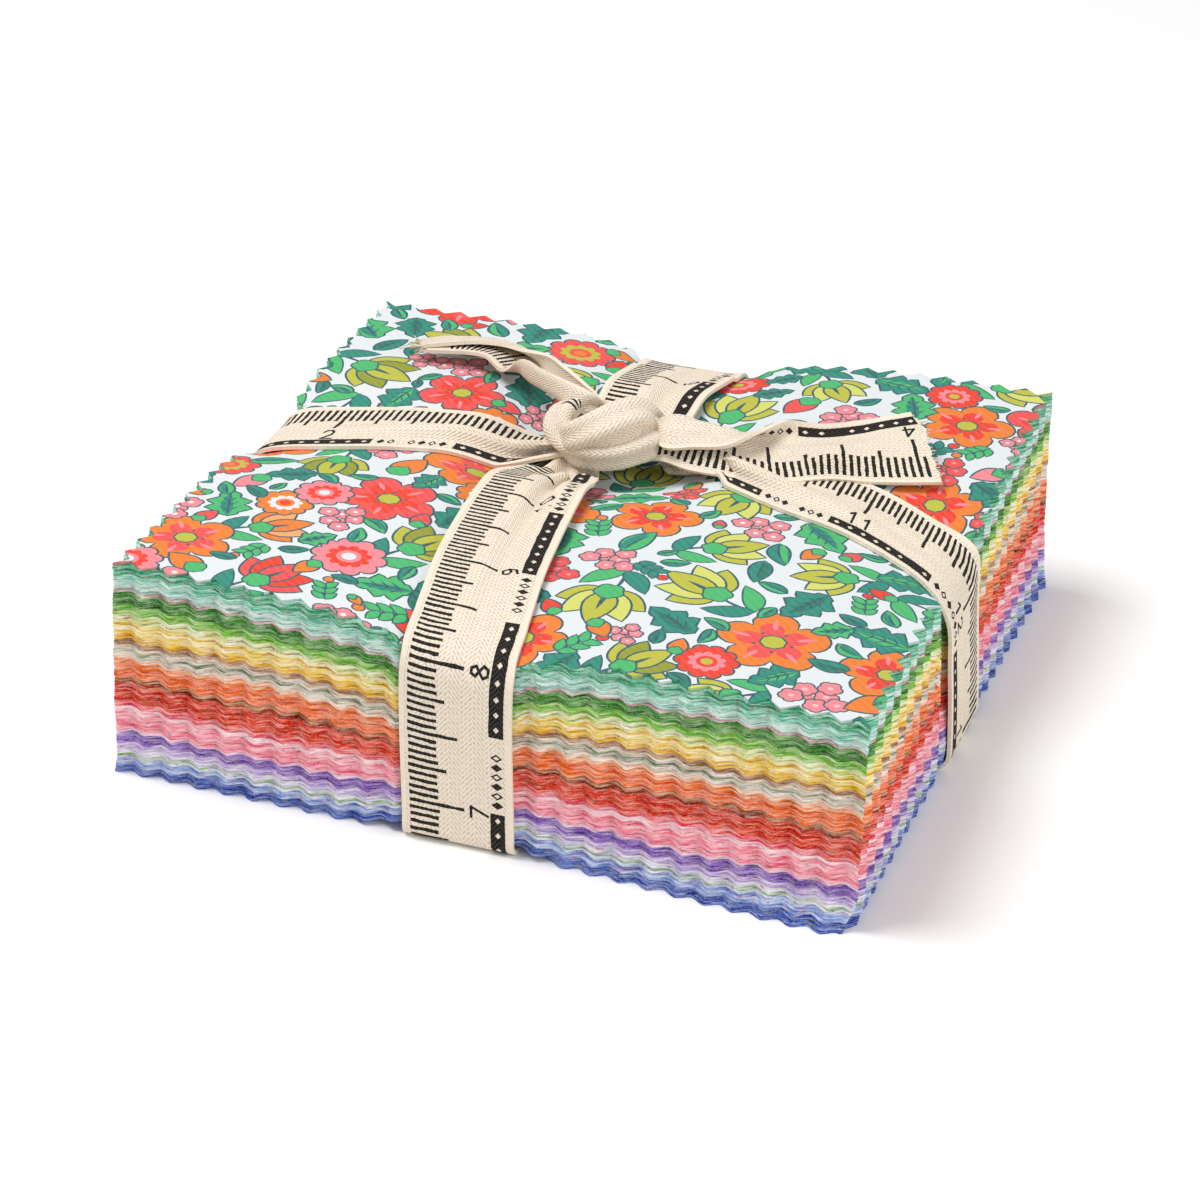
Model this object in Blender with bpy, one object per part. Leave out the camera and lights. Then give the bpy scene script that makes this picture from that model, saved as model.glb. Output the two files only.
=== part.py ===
"""A stack of pinked fabric squares, tied both ways with one length of cotton twill tape.

Metres, +Z up. X runs along the front of the stack, Y towards its back, and the origin is on the surface
that the stack rests on, under the middle of the squares.

The squares are built in packets: each packet is a pinked sheet as thick as the squares it stands for.
The tie is one solid: two bands round the stack, crossed underneath, a knot on top and two free ends.
"""

import math

import bmesh
import bpy
from mathutils import Vector
from mathutils.geometry import delaunay_2d_cdt

# Driving dimensions of the squares
SQUARE = 0.127
TEETH_ALONG_X = 26
TEETH_ALONG_Y = 25
TOOTH_DEPTH = 0.002
PACKETS = 12
GAP = 0.0004

# Height of the stack at its corners: (side of x, side of y) and height
CORNER_HEIGHTS = {(-1, -1): 0.0391, (1, -1): 0.0365, (1, 1): 0.0366, (-1, 1): 0.0329}
QUARTER_CROWN = 0.0008

# Driving dimensions of the tape
TAPE_WIDTH = 0.019
TAPE_THICK = 0.001
TAPE_COLUMNS = 4
SIDE_CLEARANCE = 0.0004
TOP_CLEARANCE = 0.0008

# How finely the tape is divided along the top, and where along the bottom
TOP_STEP = 0.005
TOP_STEPS = 21
UNDER_PLACES = (-0.045, -0.030, -0.014, -0.0095, 0.0, 0.0095, 0.014, 0.030, 0.045)

# How the tape bends over an edge of the stack: where the bend starts and ends, and how rounded it is
EDGE_BEND = 0.009
EDGE_DROP = 0.0045
EDGE_LEAD = 0.0075
EDGE_LEAD_DOWN = 0.0055
EDGE_STEPS = 7
SLOPE_STEP = 0.003

# How the tape turns under the stack: the outer radius of the turn, and the height on the side below
# which the tape moves over from its line on the top to its line on the bottom
FOOT_RADIUS = 0.0025
FOOT_STEPS = 4
SIDE_STEPS = 3
SIDE_MOVE_HEIGHT = 0.030

# How far the tape draws the top of the stack down: at the knot, along the runs, and at the edges,
# where it also bends the cloth over and so pulls it in
BAND_FLAT = 0.0107
BAND_FADE = 0.0105
KNOT_FLAT = 0.0140
DRAW_AT_KNOT = 0.0034
DRAW_ALONG = 0.0011
DRAW_AT_EDGE = 0.0020
DRAW_EDGE_REACH = 0.026
DRAW_FADE = 0.012
CRUSH_AT_EDGE = 0.0024
CRUSH_REACH = 0.010
CRUSH_FLAT = 0.0095
CRUSH_FADE = 0.006
PULL_IN = 0.0013

# How far the stack stands up over the tape underneath it
LIFT_AT_EDGE = 0.0012

# How far one band rises where it crosses the other, with how far from the crossing that lasts and fades
UNDER_RISE = 0.5 * TAPE_THICK
UNDER_RISE_FLAT = 0.0100
UNDER_RISE_FADE = 0.0035
TOP_RISE = 0.6 * TAPE_THICK
TOP_RISE_FLAT = 0.006
TOP_RISE_FADE = 0.010

# Small unevenness between packets
WAVE_HEIGHT = 0.00012
WAVE_LENGTH = 0.055
SHIFT = 0.00025

# The tape's middle line over the top, front to back: y, x, width of the tape there
FRONT_TO_BACK = (
    (-0.0635, -0.0042, 0.0190),
    (-0.0500, -0.0060, 0.0188),
    (-0.0380, -0.0078, 0.0184),
    (-0.0250, -0.0092, 0.0176),
    (-0.0100, -0.0102, 0.0158),
    (0.0010, -0.0100, 0.0130),
    (0.0100, -0.0078, 0.0105),
    (0.0180, -0.0054, 0.0125),
    (0.0270, -0.0042, 0.0165),
    (0.0400, -0.0037, 0.0182),
    (0.0520, -0.0028, 0.0188),
    (0.0635, -0.0022, 0.0190),
)

# The tape's middle line over the top, left to right: x, y, width of the tape there
LEFT_TO_RIGHT = (
    (-0.0635, 0.0040, 0.0190),
    (-0.0500, 0.0056, 0.0188),
    (-0.0380, 0.0082, 0.0176),
    (-0.0260, 0.0117, 0.0150),
    (-0.0160, 0.0143, 0.0122),
    (-0.0060, 0.0158, 0.0104),
    (0.0040, 0.0170, 0.0104),
    (0.0120, 0.0164, 0.0126),
    (0.0205, 0.0139, 0.0156),
    (0.0310, 0.0104, 0.0180),
    (0.0405, 0.0076, 0.0188),
    (0.0485, 0.0044, 0.0190),
    (0.0560, 0.0006, 0.0190),
    (0.0635, -0.0024, 0.0190),
)

# Where each band runs on the bottom, at its near and far end, and where the two cross there
FRONT_TO_BACK_UNDER = (-0.0035, -0.0025)
LEFT_TO_RIGHT_UNDER = (0.0035, 0.0020)
UNDER_CROSSING = (-0.0030, 0.0025)

# Where the bands meet on top, and the ropes of gathered tape that make the knot:
# x, y, z, half width, half thickness
KNOT = (-0.0060, 0.0158)
KNOT_WRAPS = {
    "over": (
        (-0.0115, 0.0090, 0.0350, 0.0030, 0.0022),
        (-0.0118, 0.0080, 0.0385, 0.0038, 0.0026),
        (-0.0092, 0.0085, 0.0425, 0.0044, 0.0028),
        (-0.0050, 0.0115, 0.0445, 0.0048, 0.0030),
        (-0.0008, 0.0155, 0.0438, 0.0046, 0.0029),
        (0.0018, 0.0190, 0.0405, 0.0040, 0.0027),
        (0.0020, 0.0205, 0.0365, 0.0032, 0.0024),
    ),
    "under": (
        (-0.0105, 0.0120, 0.0375, 0.0026, 0.0020),
        (-0.0090, 0.0085, 0.0375, 0.0030, 0.0024),
        (-0.0050, 0.0066, 0.0378, 0.0034, 0.0027),
        (-0.0005, 0.0080, 0.0380, 0.0034, 0.0027),
        (0.0028, 0.0115, 0.0375, 0.0030, 0.0025),
        (0.0040, 0.0155, 0.0365, 0.0026, 0.0022),
    ),
    "loop": (
        (-0.0095, 0.0095, 0.0365, 0.0026, 0.0020),
        (-0.0130, 0.0115, 0.0390, 0.0032, 0.0024),
        (-0.0136, 0.0150, 0.0405, 0.0036, 0.0026),
        (-0.0112, 0.0190, 0.0405, 0.0036, 0.0026),
        (-0.0070, 0.0218, 0.0390, 0.0032, 0.0024),
        (-0.0035, 0.0225, 0.0360, 0.0028, 0.0022),
    ),
}
KNOT_CORE = (-0.0050, 0.0140, 0.0385)
KNOT_CORE_RADII = (0.0076, 0.0076, 0.0056)
KNOT_SIDES = 12

ROWS_DIVIDED = 2

# The free ends: x, y, z, tilt of the width in degrees, width, thickness
RIGHT_END = (
    (-0.0020, 0.0135, 0.0400, 50.0, 0.0080, 0.0020),
    (0.0050, 0.0142, 0.0408, 45.0, 0.0095, 0.0018),
    (0.0115, 0.0150, 0.0412, 38.0, 0.0120, 0.0014),
    (0.0180, 0.0172, 0.0412, 28.0, 0.0155, 0.0010),
    (0.0260, 0.0198, 0.0410, 18.0, 0.0180, 0.0010),
    (0.0340, 0.0228, 0.0408, 14.0, 0.0190, 0.0010),
    (0.0420, 0.0259, 0.0408, 13.0, 0.0190, 0.0010),
    (0.0483, 0.0284, 0.0410, 14.0, 0.0190, 0.0010),
)
LEFT_END = (
    (-0.0070, 0.0150, 0.0405, 20.0, 0.0070, 0.0020),
    (-0.0115, 0.0205, 0.0425, 25.0, 0.0078, 0.0018),
    (-0.0165, 0.0280, 0.0420, 30.0, 0.0082, 0.0018),
    (-0.0225, 0.0350, 0.0402, 26.0, 0.0088, 0.0018),
    (-0.0285, 0.0400, 0.0388, 15.0, 0.0092, 0.0018),
    (-0.0345, 0.0420, 0.0381, 5.0, 0.0094, 0.0018),
    (-0.0405, 0.0418, 0.0376, 0.0, 0.0095, 0.0018),
    (-0.0473, 0.0405, 0.0373, 0.0, 0.0095, 0.0018),
)

# Colours of the packets from the bottom up, and of the tape
PACKET_COLOURS = (
    (0.055, 0.085, 0.300),
    (0.300, 0.400, 0.600),
    (0.330, 0.220, 0.500),
    (0.780, 0.270, 0.330),
    (0.800, 0.420, 0.440),
    (0.560, 0.060, 0.050),
    (0.780, 0.220, 0.080),
    (0.640, 0.500, 0.420),
    (0.760, 0.520, 0.170),
    (0.640, 0.700, 0.360),
    (0.110, 0.300, 0.060),
    (0.560, 0.660, 0.620),
)
TAPE_COLOUR = (0.820, 0.730, 0.600)
SQUARES_ROUGHNESS = 0.9
TAPE_ROUGHNESS = 0.85
SHARP_ANGLE = math.radians(35)

HALF = SQUARE / 2


def between(rows, value, column):
    """Reads one column of a table at a value of its first column, on a smooth curve through the rows."""
    if value <= rows[0][0]:
        return rows[0][column]
    if value >= rows[-1][0]:
        return rows[-1][column]
    i = max(k for k in range(len(rows) - 1) if rows[k][0] <= value)
    low, high = rows[i], rows[i + 1]
    before = rows[max(i - 1, 0)]
    after = rows[min(i + 2, len(rows) - 1)]
    span = high[0] - low[0]
    t = (value - low[0]) / span
    slope_low = (high[column] - before[column]) / (high[0] - before[0]) * span
    slope_high = (after[column] - low[column]) / (after[0] - low[0]) * span
    return (
        (2 * t**3 - 3 * t**2 + 1) * low[column]
        + (t**3 - 2 * t**2 + t) * slope_low
        + (3 * t**2 - 2 * t**3) * high[column]
        + (t**3 - t**2) * slope_high
    )


def ramp(value):
    return min(max(value, 0.0), 1.0)


def smooth(value):
    t = ramp(value)
    return t * t * (3 - 2 * t)


def under_line(ends, along):
    """The middle line of a band on the bottom, at a place along it."""
    t = (along + HALF) / SQUARE
    return ends[0] + (ends[1] - ends[0]) * t


def furrow(from_knot, from_edge, across):
    """How deep a band draws the top down, by the distances from the knot, the edge and its middle line."""
    at_knot = DRAW_AT_KNOT * (1 - ramp((from_knot - KNOT_FLAT) / BAND_FADE))
    at_edge = DRAW_AT_EDGE * (1 - smooth(from_edge / DRAW_EDGE_REACH))
    drawn = (DRAW_ALONG + at_knot + at_edge) * math.exp(-max(abs(across) - BAND_FLAT, 0) / DRAW_FADE)
    return drawn + CRUSH_AT_EDGE * crush_share(from_edge, across)


def crush_share(from_edge, across):
    """How much of the crush under the tape reaches a place near an edge, from 0 to 1."""
    beside = 1 - ramp((abs(across) - CRUSH_FLAT) / CRUSH_FADE)
    return beside * (1 - ramp(from_edge / CRUSH_REACH)) ** 2


def corner_height(x, y):
    u = ramp((x + HALF) / SQUARE)
    v = ramp((y + HALF) / SQUARE)
    near = CORNER_HEIGHTS[-1, -1] * (1 - u) + CORNER_HEIGHTS[1, -1] * u
    far = CORNER_HEIGHTS[-1, 1] * (1 - u) + CORNER_HEIGHTS[1, 1] * u
    return near * (1 - v) + far * v


def top_height(x, y):
    """The top of the stack: its corners, a slight crown on each quarter, and the furrows under the tape."""
    front = furrow(abs(y - KNOT[1]), HALF - abs(y), x - between(FRONT_TO_BACK, y, 1))
    side = furrow(abs(x - KNOT[0]), HALF - abs(x), y - between(LEFT_TO_RIGHT, x, 1))
    drawn = (front**4 + side**4) ** 0.25
    crown = QUARTER_CROWN * (1 - (abs(x) / HALF) ** 4) * (1 - (abs(y) / HALF) ** 4)
    return corner_height(x, y) + crown - drawn


def bottom_height(x, y):
    """The underside of the stack: flat on the surface, and lifted where it lies over the tape."""
    across_front = abs(x - under_line(FRONT_TO_BACK_UNDER, y))
    across_side = abs(y - under_line(LEFT_TO_RIGHT_UNDER, x))
    front = ramp(1 - (across_front - BAND_FLAT) / BAND_FADE)
    side = ramp(1 - (across_side - BAND_FLAT) / BAND_FADE)
    edge_y = LIFT_AT_EDGE * ramp(1 - (HALF - abs(y)) / CRUSH_REACH) * front
    edge_x = LIFT_AT_EDGE * ramp(1 - (HALF - abs(x)) / CRUSH_REACH) * side
    over = (TAPE_THICK + GAP) * max(front, side)
    return over + UNDER_RISE * min(front, side) + edge_x + edge_y


def layer_height(x, y, level):
    """The height between two packets: level is 0 under the stack and PACKETS on top of it."""
    f = level / PACKETS
    low, high = bottom_height(x, y), top_height(x, y)
    wave = math.sin(2 * math.pi * (x + 0.6 * y) / WAVE_LENGTH + 2.4 * level)
    wave *= math.sin(2 * math.pi * (y - 0.3 * x) / WAVE_LENGTH + 1.7 * level)
    return low + (high - low) * f + 4 * f * (1 - f) * WAVE_HEIGHT * wave


def pulled_in(point, level):
    """Moves a point of the outline in, where the tape bends the upper squares over the edge."""
    pull = PULL_IN * (level / PACKETS) ** 3
    share_x = crush_share(HALF - abs(point.x), point.y - between(LEFT_TO_RIGHT, point.x, 1))
    share_y = crush_share(HALF - abs(point.y), point.x - between(FRONT_TO_BACK, point.y, 1))
    return point - Vector((math.copysign(share_x, point.x), math.copysign(share_y, point.y))) * pull


def pinked_outline():
    """The zigzag outline of a square, anticlockwise from its near left corner."""
    points = []
    sides = (
        (Vector((-HALF, -HALF)), Vector((1, 0)), TEETH_ALONG_X),
        (Vector((HALF, -HALF)), Vector((0, 1)), TEETH_ALONG_Y),
        (Vector((HALF, HALF)), Vector((-1, 0)), TEETH_ALONG_X),
        (Vector((-HALF, HALF)), Vector((0, -1)), TEETH_ALONG_Y),
    )
    for corner, along, teeth in sides:
        inward = Vector((-along.y, along.x))
        pitch = SQUARE / teeth
        for i in range(teeth):
            points.append(corner + along * (pitch * i))
            points.append(corner + along * (pitch * (i + 0.5)) + inward * TOOTH_DEPTH)
    return points


def relief_points(level):
    """Points inside a layer: lines beside both bands and near the edges, which carry the relief."""
    f = level / PACKETS
    steps = (-BAND_FLAT - BAND_FADE, -BAND_FLAT, BAND_FLAT, BAND_FLAT + BAND_FADE)

    def band_x(y):
        under = under_line(FRONT_TO_BACK_UNDER, y)
        return under + (between(FRONT_TO_BACK, y, 1) - under) * f

    def band_y(x):
        under = under_line(LEFT_TO_RIGHT_UNDER, x)
        return under + (between(LEFT_TO_RIGHT, x, 1) - under) * f

    edge = HALF - CRUSH_REACH - TOOTH_DEPTH
    points = []
    for column in (-1, *steps, 1):
        for row in (-1, *steps, 1):
            x, y = 0.0, 0.0
            for _ in range(8):
                x = column * edge if abs(column) == 1 else band_x(y) + column
                y = row * edge if abs(row) == 1 else band_y(x) + row
            points.append(Vector((x, y)))
    return points


def packet_mesh(number):
    """A pinked sheet: two relief faces with one outline, and the zigzag wall between them."""
    angle = 2.4 * number
    shift = Vector((math.cos(angle), math.sin(angle))) * (SHIFT * (0.4 + 0.6 * math.sin(1.3 * number) ** 2))
    if number == PACKETS - 1:
        shift = Vector((0, 0))
    outline = pinked_outline()
    count = len(outline)
    ring = [(i, (i + 1) % count) for i in range(count)]
    mesh = bmesh.new()
    rims = []
    for level, step in ((number, GAP / 2), (number + 1, -GAP / 2)):
        if level in (0, PACKETS):
            step = 0.0
        rim = [pulled_in(point, level) for point in outline]
        flat, _, faces, *_ = delaunay_2d_cdt(rim + relief_points(level), ring, [], 1, 1e-9)
        places = [p + shift for p in flat[:count]] + list(flat[count:])
        verts = [mesh.verts.new((p.x, p.y, layer_height(p.x, p.y, level) + step)) for p in places]
        for face in faces:
            corners = [verts[i] for i in face]
            mesh.faces.new(corners if level > number else corners[::-1])
        rims.append(verts[:count])
    lower, upper = rims
    for i, j in ring:
        mesh.faces.new((lower[i], lower[j], upper[j], upper[i]))
    bmesh.ops.triangulate(mesh, faces=[face for face in mesh.faces if len(face.verts) > 3])
    return mesh


def bezier(a, b, c, d, t):
    return a * (1 - t) ** 3 + b * (3 * t * (1 - t) ** 2) + c * (3 * t * t * (1 - t)) + d * t**3


def wrap_profile(top_at, side):
    """One half of a band seen along the edge it crosses: points (outward, up) of the tape's middle
    surface, from the top run down over the edge, down the side and round under the bottom."""
    half = TAPE_THICK / 2
    face = HALF + SHIFT + SIDE_CLEARANCE + half
    start = HALF - EDGE_BEND
    first = Vector((start, top_at(side * start) + TOP_CLEARANCE + half))
    slope = (top_at(side * start) - top_at(side * (start - SLOPE_STEP))) / SLOPE_STEP
    last = Vector((face, top_at(side * HALF) - EDGE_DROP))
    lead = Vector((1, slope)).normalized() * EDGE_LEAD
    above = last + Vector((0, EDGE_LEAD_DOWN))
    points = [bezier(first, first + lead, above, last, i / EDGE_STEPS) for i in range(EDGE_STEPS + 1)]
    for i in range(1, SIDE_STEPS):
        points.append(Vector((face, last.y + (FOOT_RADIUS - last.y) * i / SIDE_STEPS)))
    centre = Vector((face + half - FOOT_RADIUS, FOOT_RADIUS))
    for i in range(FOOT_STEPS + 1):
        angle = math.pi / 2 * i / FOOT_STEPS
        points.append(centre + Vector((math.cos(angle), -math.sin(angle))) * (FOOT_RADIUS - half))
    return points


def band_path(rows, under, along_y, rises, share):
    """One lengthwise line of a band, right round the stack, as points (along, across, up). Share is its
    place in the width, from -0.5 to 0.5. Rises are those at the crossings on top and underneath."""
    half = TAPE_THICK / 2
    rise_top, rise_under = rises
    knot = KNOT[1] if along_y else KNOT[0]
    crossing = UNDER_CROSSING[1] if along_y else UNDER_CROSSING[0]

    def height(along, across):
        return top_height(across, along) if along_y else top_height(along, across)

    def line(along):
        return between(rows, along, 1) + share * between(rows, along, 2)

    def over_edge(side):
        low = under[1 if side > 0 else 0] + share * TAPE_WIDTH
        for out, up in wrap_profile(lambda along: height(along, line(along)), side):
            across = line(side * out)
            yield Vector((side * out, across + (low - across) * ramp(1 - up / SIDE_MOVE_HEIGHT), up))

    path = []
    reach = HALF - EDGE_BEND - TOP_STEP / 2
    for i in range(TOP_STEPS + 1):
        along = -reach + 2 * reach * i / TOP_STEPS
        across = line(along)
        raised = rise_top * (1 - smooth((abs(along - knot) - TOP_RISE_FLAT) / TOP_RISE_FADE))
        path.append(Vector((along, across, height(along, across) + TOP_CLEARANCE + half + raised)))
    path += over_edge(1)
    for place in UNDER_PLACES[::-1]:
        along = crossing + place
        raised = rise_under * (1 - smooth((abs(place) - UNDER_RISE_FLAT) / UNDER_RISE_FADE))
        path.append(Vector((along, under_line(under, along) + share * TAPE_WIDTH, half + raised)))
    return path + list(over_edge(-1))[::-1]


def band_mesh(rows, under, along_y, rises=(0.0, 0.0)):
    """A band right round the stack: a closed strip of columns across its width."""
    shares = [column / (TAPE_COLUMNS - 1) - 0.5 for column in range(TAPE_COLUMNS)]
    columns = [band_path(rows, under, along_y, rises, share) for share in shares]
    count = len(columns[0])
    mesh = bmesh.new()
    rings = []
    for k in range(count):
        outer, inner = [], []
        for column in columns:
            way = column[(k + 1) % count] - column[k - 1]
            out = Vector((-way.z, 0, way.x)).normalized() * (TAPE_THICK / 2)
            outer.append(column[k] + out)
            inner.append(column[k] - out)
        points = outer + inner[::-1]
        if along_y:
            points = [Vector((p.y, p.x, p.z)) for p in points]
        rings.append([mesh.verts.new(point) for point in points])
    close_rings(mesh, rings, round_trip=True)
    return mesh


def close_rings(mesh, rings, round_trip):
    """Joins rings of points into a tube. It ends in flat caps unless it comes round to its start."""
    count = len(rings)
    for k in range(count if round_trip else count - 1):
        one, two = rings[k], rings[(k + 1) % count]
        for i in range(len(one)):
            j = (i + 1) % len(one)
            mesh.faces.new((one[i], one[j], two[j], two[i]))
    if not round_trip:
        mesh.faces.new(rings[0])
        mesh.faces.new(rings[-1][::-1])
    bmesh.ops.triangulate(mesh, faces=mesh.faces)
    bmesh.ops.recalc_face_normals(mesh, faces=mesh.faces)


def along_rows(rows, steps):
    """Reads a table of places as a smooth curve, with a few steps between its rows."""
    numbered = [(i, *row) for i, row in enumerate(rows)]
    width = len(rows[0])
    for i in range((len(rows) - 1) * steps + 1):
        yield [between(numbered, i / steps, column + 1) for column in range(width)]


def directions(points):
    """The direction of travel at each point of a curve."""
    for i in range(len(points)):
        ahead = points[min(i + 1, len(points) - 1)]
        yield (ahead - points[max(i - 1, 0)]).normalized()


def wrap_mesh(rows):
    """A rope of gathered tape in the knot, oval in section and turned to face out of the knot."""
    places = list(along_rows(rows, ROWS_DIVIDED))
    points = [Vector(place[:3]) for place in places]
    mesh = bmesh.new()
    rings = []
    for place, point, tangent in zip(places, points, directions(points)):
        side = tangent.cross(point - Vector(KNOT_CORE)).normalized()
        out = side.cross(tangent)
        ring = []
        for k in range(KNOT_SIDES):
            angle = 2 * math.pi * k / KNOT_SIDES
            offset = side * (place[3] * math.cos(angle)) + out * (place[4] * math.sin(angle))
            ring.append(mesh.verts.new(point + offset))
        rings.append(ring)
    close_rings(mesh, rings, round_trip=False)
    return mesh


def end_mesh(rows):
    """A free end of the tape: a flat strip with a raw cut end."""
    places = list(along_rows(rows, ROWS_DIVIDED))
    points = [Vector(place[:3]) for place in places]
    shares = [column / (TAPE_COLUMNS - 1) - 0.5 for column in range(TAPE_COLUMNS)]
    mesh = bmesh.new()
    rings = []
    for place, point, tangent in zip(places, points, directions(points)):
        side = Vector((0, 0, 1)).cross(tangent).normalized()
        up = tangent.cross(side)
        tilt = math.radians(place[3])
        across = side * math.cos(tilt) + up * math.sin(tilt)
        normal = up * math.cos(tilt) - side * math.sin(tilt)
        width, thick = place[4], place[5]
        upper = [point + across * (width * share) + normal * (thick / 2) for share in shares]
        lower = [point + across * (width * share) - normal * (thick / 2) for share in shares[::-1]]
        rings.append([mesh.verts.new(p) for p in upper + lower])
    close_rings(mesh, rings, round_trip=False)
    return mesh


def core_mesh():
    """The middle of the knot."""
    mesh = bmesh.new()
    bmesh.ops.create_icosphere(mesh, subdivisions=2, radius=1.0)
    bmesh.ops.scale(mesh, vec=KNOT_CORE_RADII, verts=mesh.verts)
    bmesh.ops.translate(mesh, vec=KNOT_CORE, verts=mesh.verts)
    return mesh


def cloth(name, colour, roughness):
    material = bpy.data.materials.new(name)
    material.use_nodes = True
    shader = material.node_tree.nodes["Principled BSDF"]
    shader.inputs["Base Color"].default_value = (*colour, 1.0)
    shader.inputs["Roughness"].default_value = roughness
    shader.inputs["Metallic"].default_value = 0.0
    return material


def place_object(name, mesh, material):
    data = bpy.data.meshes.new(name)
    mesh.to_mesh(data)
    mesh.free()
    data.shade_smooth()
    data.set_sharp_from_angle(angle=SHARP_ANGLE)
    data.materials.append(material)
    obj = bpy.data.objects.new(name, data)
    bpy.context.scene.collection.objects.link(obj)
    return obj


def build_squares():
    for number in range(PACKETS):
        name = f"squares_{number + 1:02d}"
        place_object(name, packet_mesh(number), cloth(name, PACKET_COLOURS[number], SQUARES_ROUGHNESS))


def build_tie():
    """Both bands, the knot and the free ends, joined into one solid."""
    material = cloth("tape", TAPE_COLOUR, TAPE_ROUGHNESS)
    side_band = band_mesh(LEFT_TO_RIGHT, LEFT_TO_RIGHT_UNDER, along_y=False)
    tie = place_object("tie_tape", side_band, material)
    rises = (TOP_RISE, UNDER_RISE)
    pieces = [band_mesh(FRONT_TO_BACK, FRONT_TO_BACK_UNDER, along_y=True, rises=rises), core_mesh()]
    pieces += [wrap_mesh(rows) for rows in KNOT_WRAPS.values()]
    pieces += [end_mesh(RIGHT_END), end_mesh(LEFT_END)]
    for number, mesh in enumerate(pieces):
        piece = place_object(f"tie_piece_{number + 1}", mesh, material)
        piece.hide_render = True
        piece.display_type = "WIRE"
        union = tie.modifiers.new(f"join_{number + 1}", "BOOLEAN")
        union.operation = "UNION"
        union.solver = "EXACT"
        union.object = piece


def main():
    for obj in list(bpy.data.objects):
        bpy.data.objects.remove(obj)
    build_squares()
    build_tie()


main()
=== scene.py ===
"""The looks of a stack of pinked fabric squares, tied both ways with one length of cotton twill tape.

Lengths are in millimetres until a mesh is made: X to the right along the front, Y to the back, Z up.
Every square of cloth is a closed sheet of its own. The tape is one piece, with its print in its mesh.
"""

import math

import bpy
import numpy as np
from mathutils import Matrix, Vector
from mathutils.geometry import delaunay_2d_cdt


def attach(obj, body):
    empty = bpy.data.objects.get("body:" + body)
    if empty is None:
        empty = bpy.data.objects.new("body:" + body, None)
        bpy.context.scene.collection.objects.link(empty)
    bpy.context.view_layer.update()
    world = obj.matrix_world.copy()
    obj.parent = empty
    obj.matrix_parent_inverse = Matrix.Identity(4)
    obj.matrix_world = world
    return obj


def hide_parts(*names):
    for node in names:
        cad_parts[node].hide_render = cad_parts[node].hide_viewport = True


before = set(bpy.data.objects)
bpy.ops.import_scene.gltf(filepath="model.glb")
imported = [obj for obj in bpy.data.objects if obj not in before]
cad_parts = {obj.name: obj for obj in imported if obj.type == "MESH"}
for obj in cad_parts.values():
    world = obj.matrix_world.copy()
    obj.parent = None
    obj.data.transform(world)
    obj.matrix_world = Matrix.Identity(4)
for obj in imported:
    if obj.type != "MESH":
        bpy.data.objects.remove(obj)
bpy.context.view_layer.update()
rng = np.random.default_rng(11)

MM = 0.001

# Driving dimensions of the stack: the square and its teeth are as in the solids
SQUARE = 127.0
HALF = SQUARE / 2
TEETH_ALONG_X = 26
TEETH_ALONG_Y = 25
TOOTH_DEPTH = 2.0
WORN_TOOTH_DEPTHS = (1.4, 1.8, 1.5, 1.5)
SHEETS = 84
SHEETS_IN_A_NODE = 7
CORNER_HEIGHTS = {(-1, -1): 39.1, (1, -1): 36.5, (1, 1): 36.6, (-1, 1): 32.9}
QUARTER_CROWN = 0.8
BACK_RIGHT_RISE = 1.7
RISE_START = 0.5
RISE_REACH = 0.35

# The tape and how it draws the stack in
TAPE_WIDTH = 19.0
TAPE_THICK = 0.65
KNOT_FLAT = 12.0
KNOT_FADE = 13.0
DRAW_AT_KNOT = 3.4
DRAW_ALONG = 1.0
DRAW_AT_EDGE = 2.0
DRAW_EDGE_REACH = 26.0
DRAW_FADE = 12.0
CRUSH_AT_EDGE = 2.2
CRUSH_MORE_AT_RIGHT = 2.0
CRUSH_REACH = 10.0
CRUSH_FLAT = 9.3
CRUSH_FADE = 5.0
PULL_IN = 1.3
LIFT_AT_EDGE = 1.2
FAN_OUT = 3.0
FURROW_FLAT = 6.0
UNDER_GAP = 0.1
UNDER_FLAT = 9.8
UNDER_FADE = 9.0

# How the stack leans: its bottom goes right and forward and its top left, more so at the back right
# corner, and the lowest squares turn and fan out at the front right corner
STACK_HEIGHT = 36.0
LEAN_RIGHT = 0.7
LEAN_LEFT = 0.15
CORNER_OUT = 0.4
CORNER_IN = 0.8
BOTTOM_SHARE = 0.10
BOTTOM_FORWARD = 0.5
BOTTOM_TURN = 0.010
FAN_START = 5.0
FAN_REACH = 55.0
FAN_SHARE = 0.42
ROUNDED_CORNER = 3.2
ROUNDED_BY = 0.55
ROUNDED_SHARE = 0.14

# Each band's line over the top: place along it, place across, and the width the tape is gathered to
FRONT_TO_BACK = (
    (-63.5, -4.2, 19.0),
    (-50.0, -6.0, 18.8),
    (-38.0, -7.8, 18.4),
    (-25.0, -9.2, 17.6),
    (-10.0, -10.2, 15.8),
    (1.0, -10.0, 13.0),
    (10.0, -7.8, 10.5),
    (18.0, -5.4, 12.5),
    (27.0, -4.2, 16.5),
    (40.0, -3.7, 18.2),
    (52.0, -2.8, 18.8),
    (63.5, -2.2, 19.0),
)
LEFT_TO_RIGHT = (
    (-63.5, 4.0, 19.0),
    (-50.0, 5.6, 18.8),
    (-38.0, 8.2, 17.6),
    (-26.0, 11.7, 15.0),
    (-16.0, 14.3, 12.2),
    (-6.0, 15.8, 10.4),
    (4.0, 18.2, 7.6),
    (12.0, 16.9, 10.2),
    (20.5, 13.9, 14.8),
    (31.0, 10.4, 18.0),
    (40.5, 7.6, 18.8),
    (48.5, 4.4, 19.0),
    (56.0, 0.6, 19.0),
    (63.5, -2.4, 19.0),
)
FRONT_TO_BACK_UNDER = (-3.5, -2.5)
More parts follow.
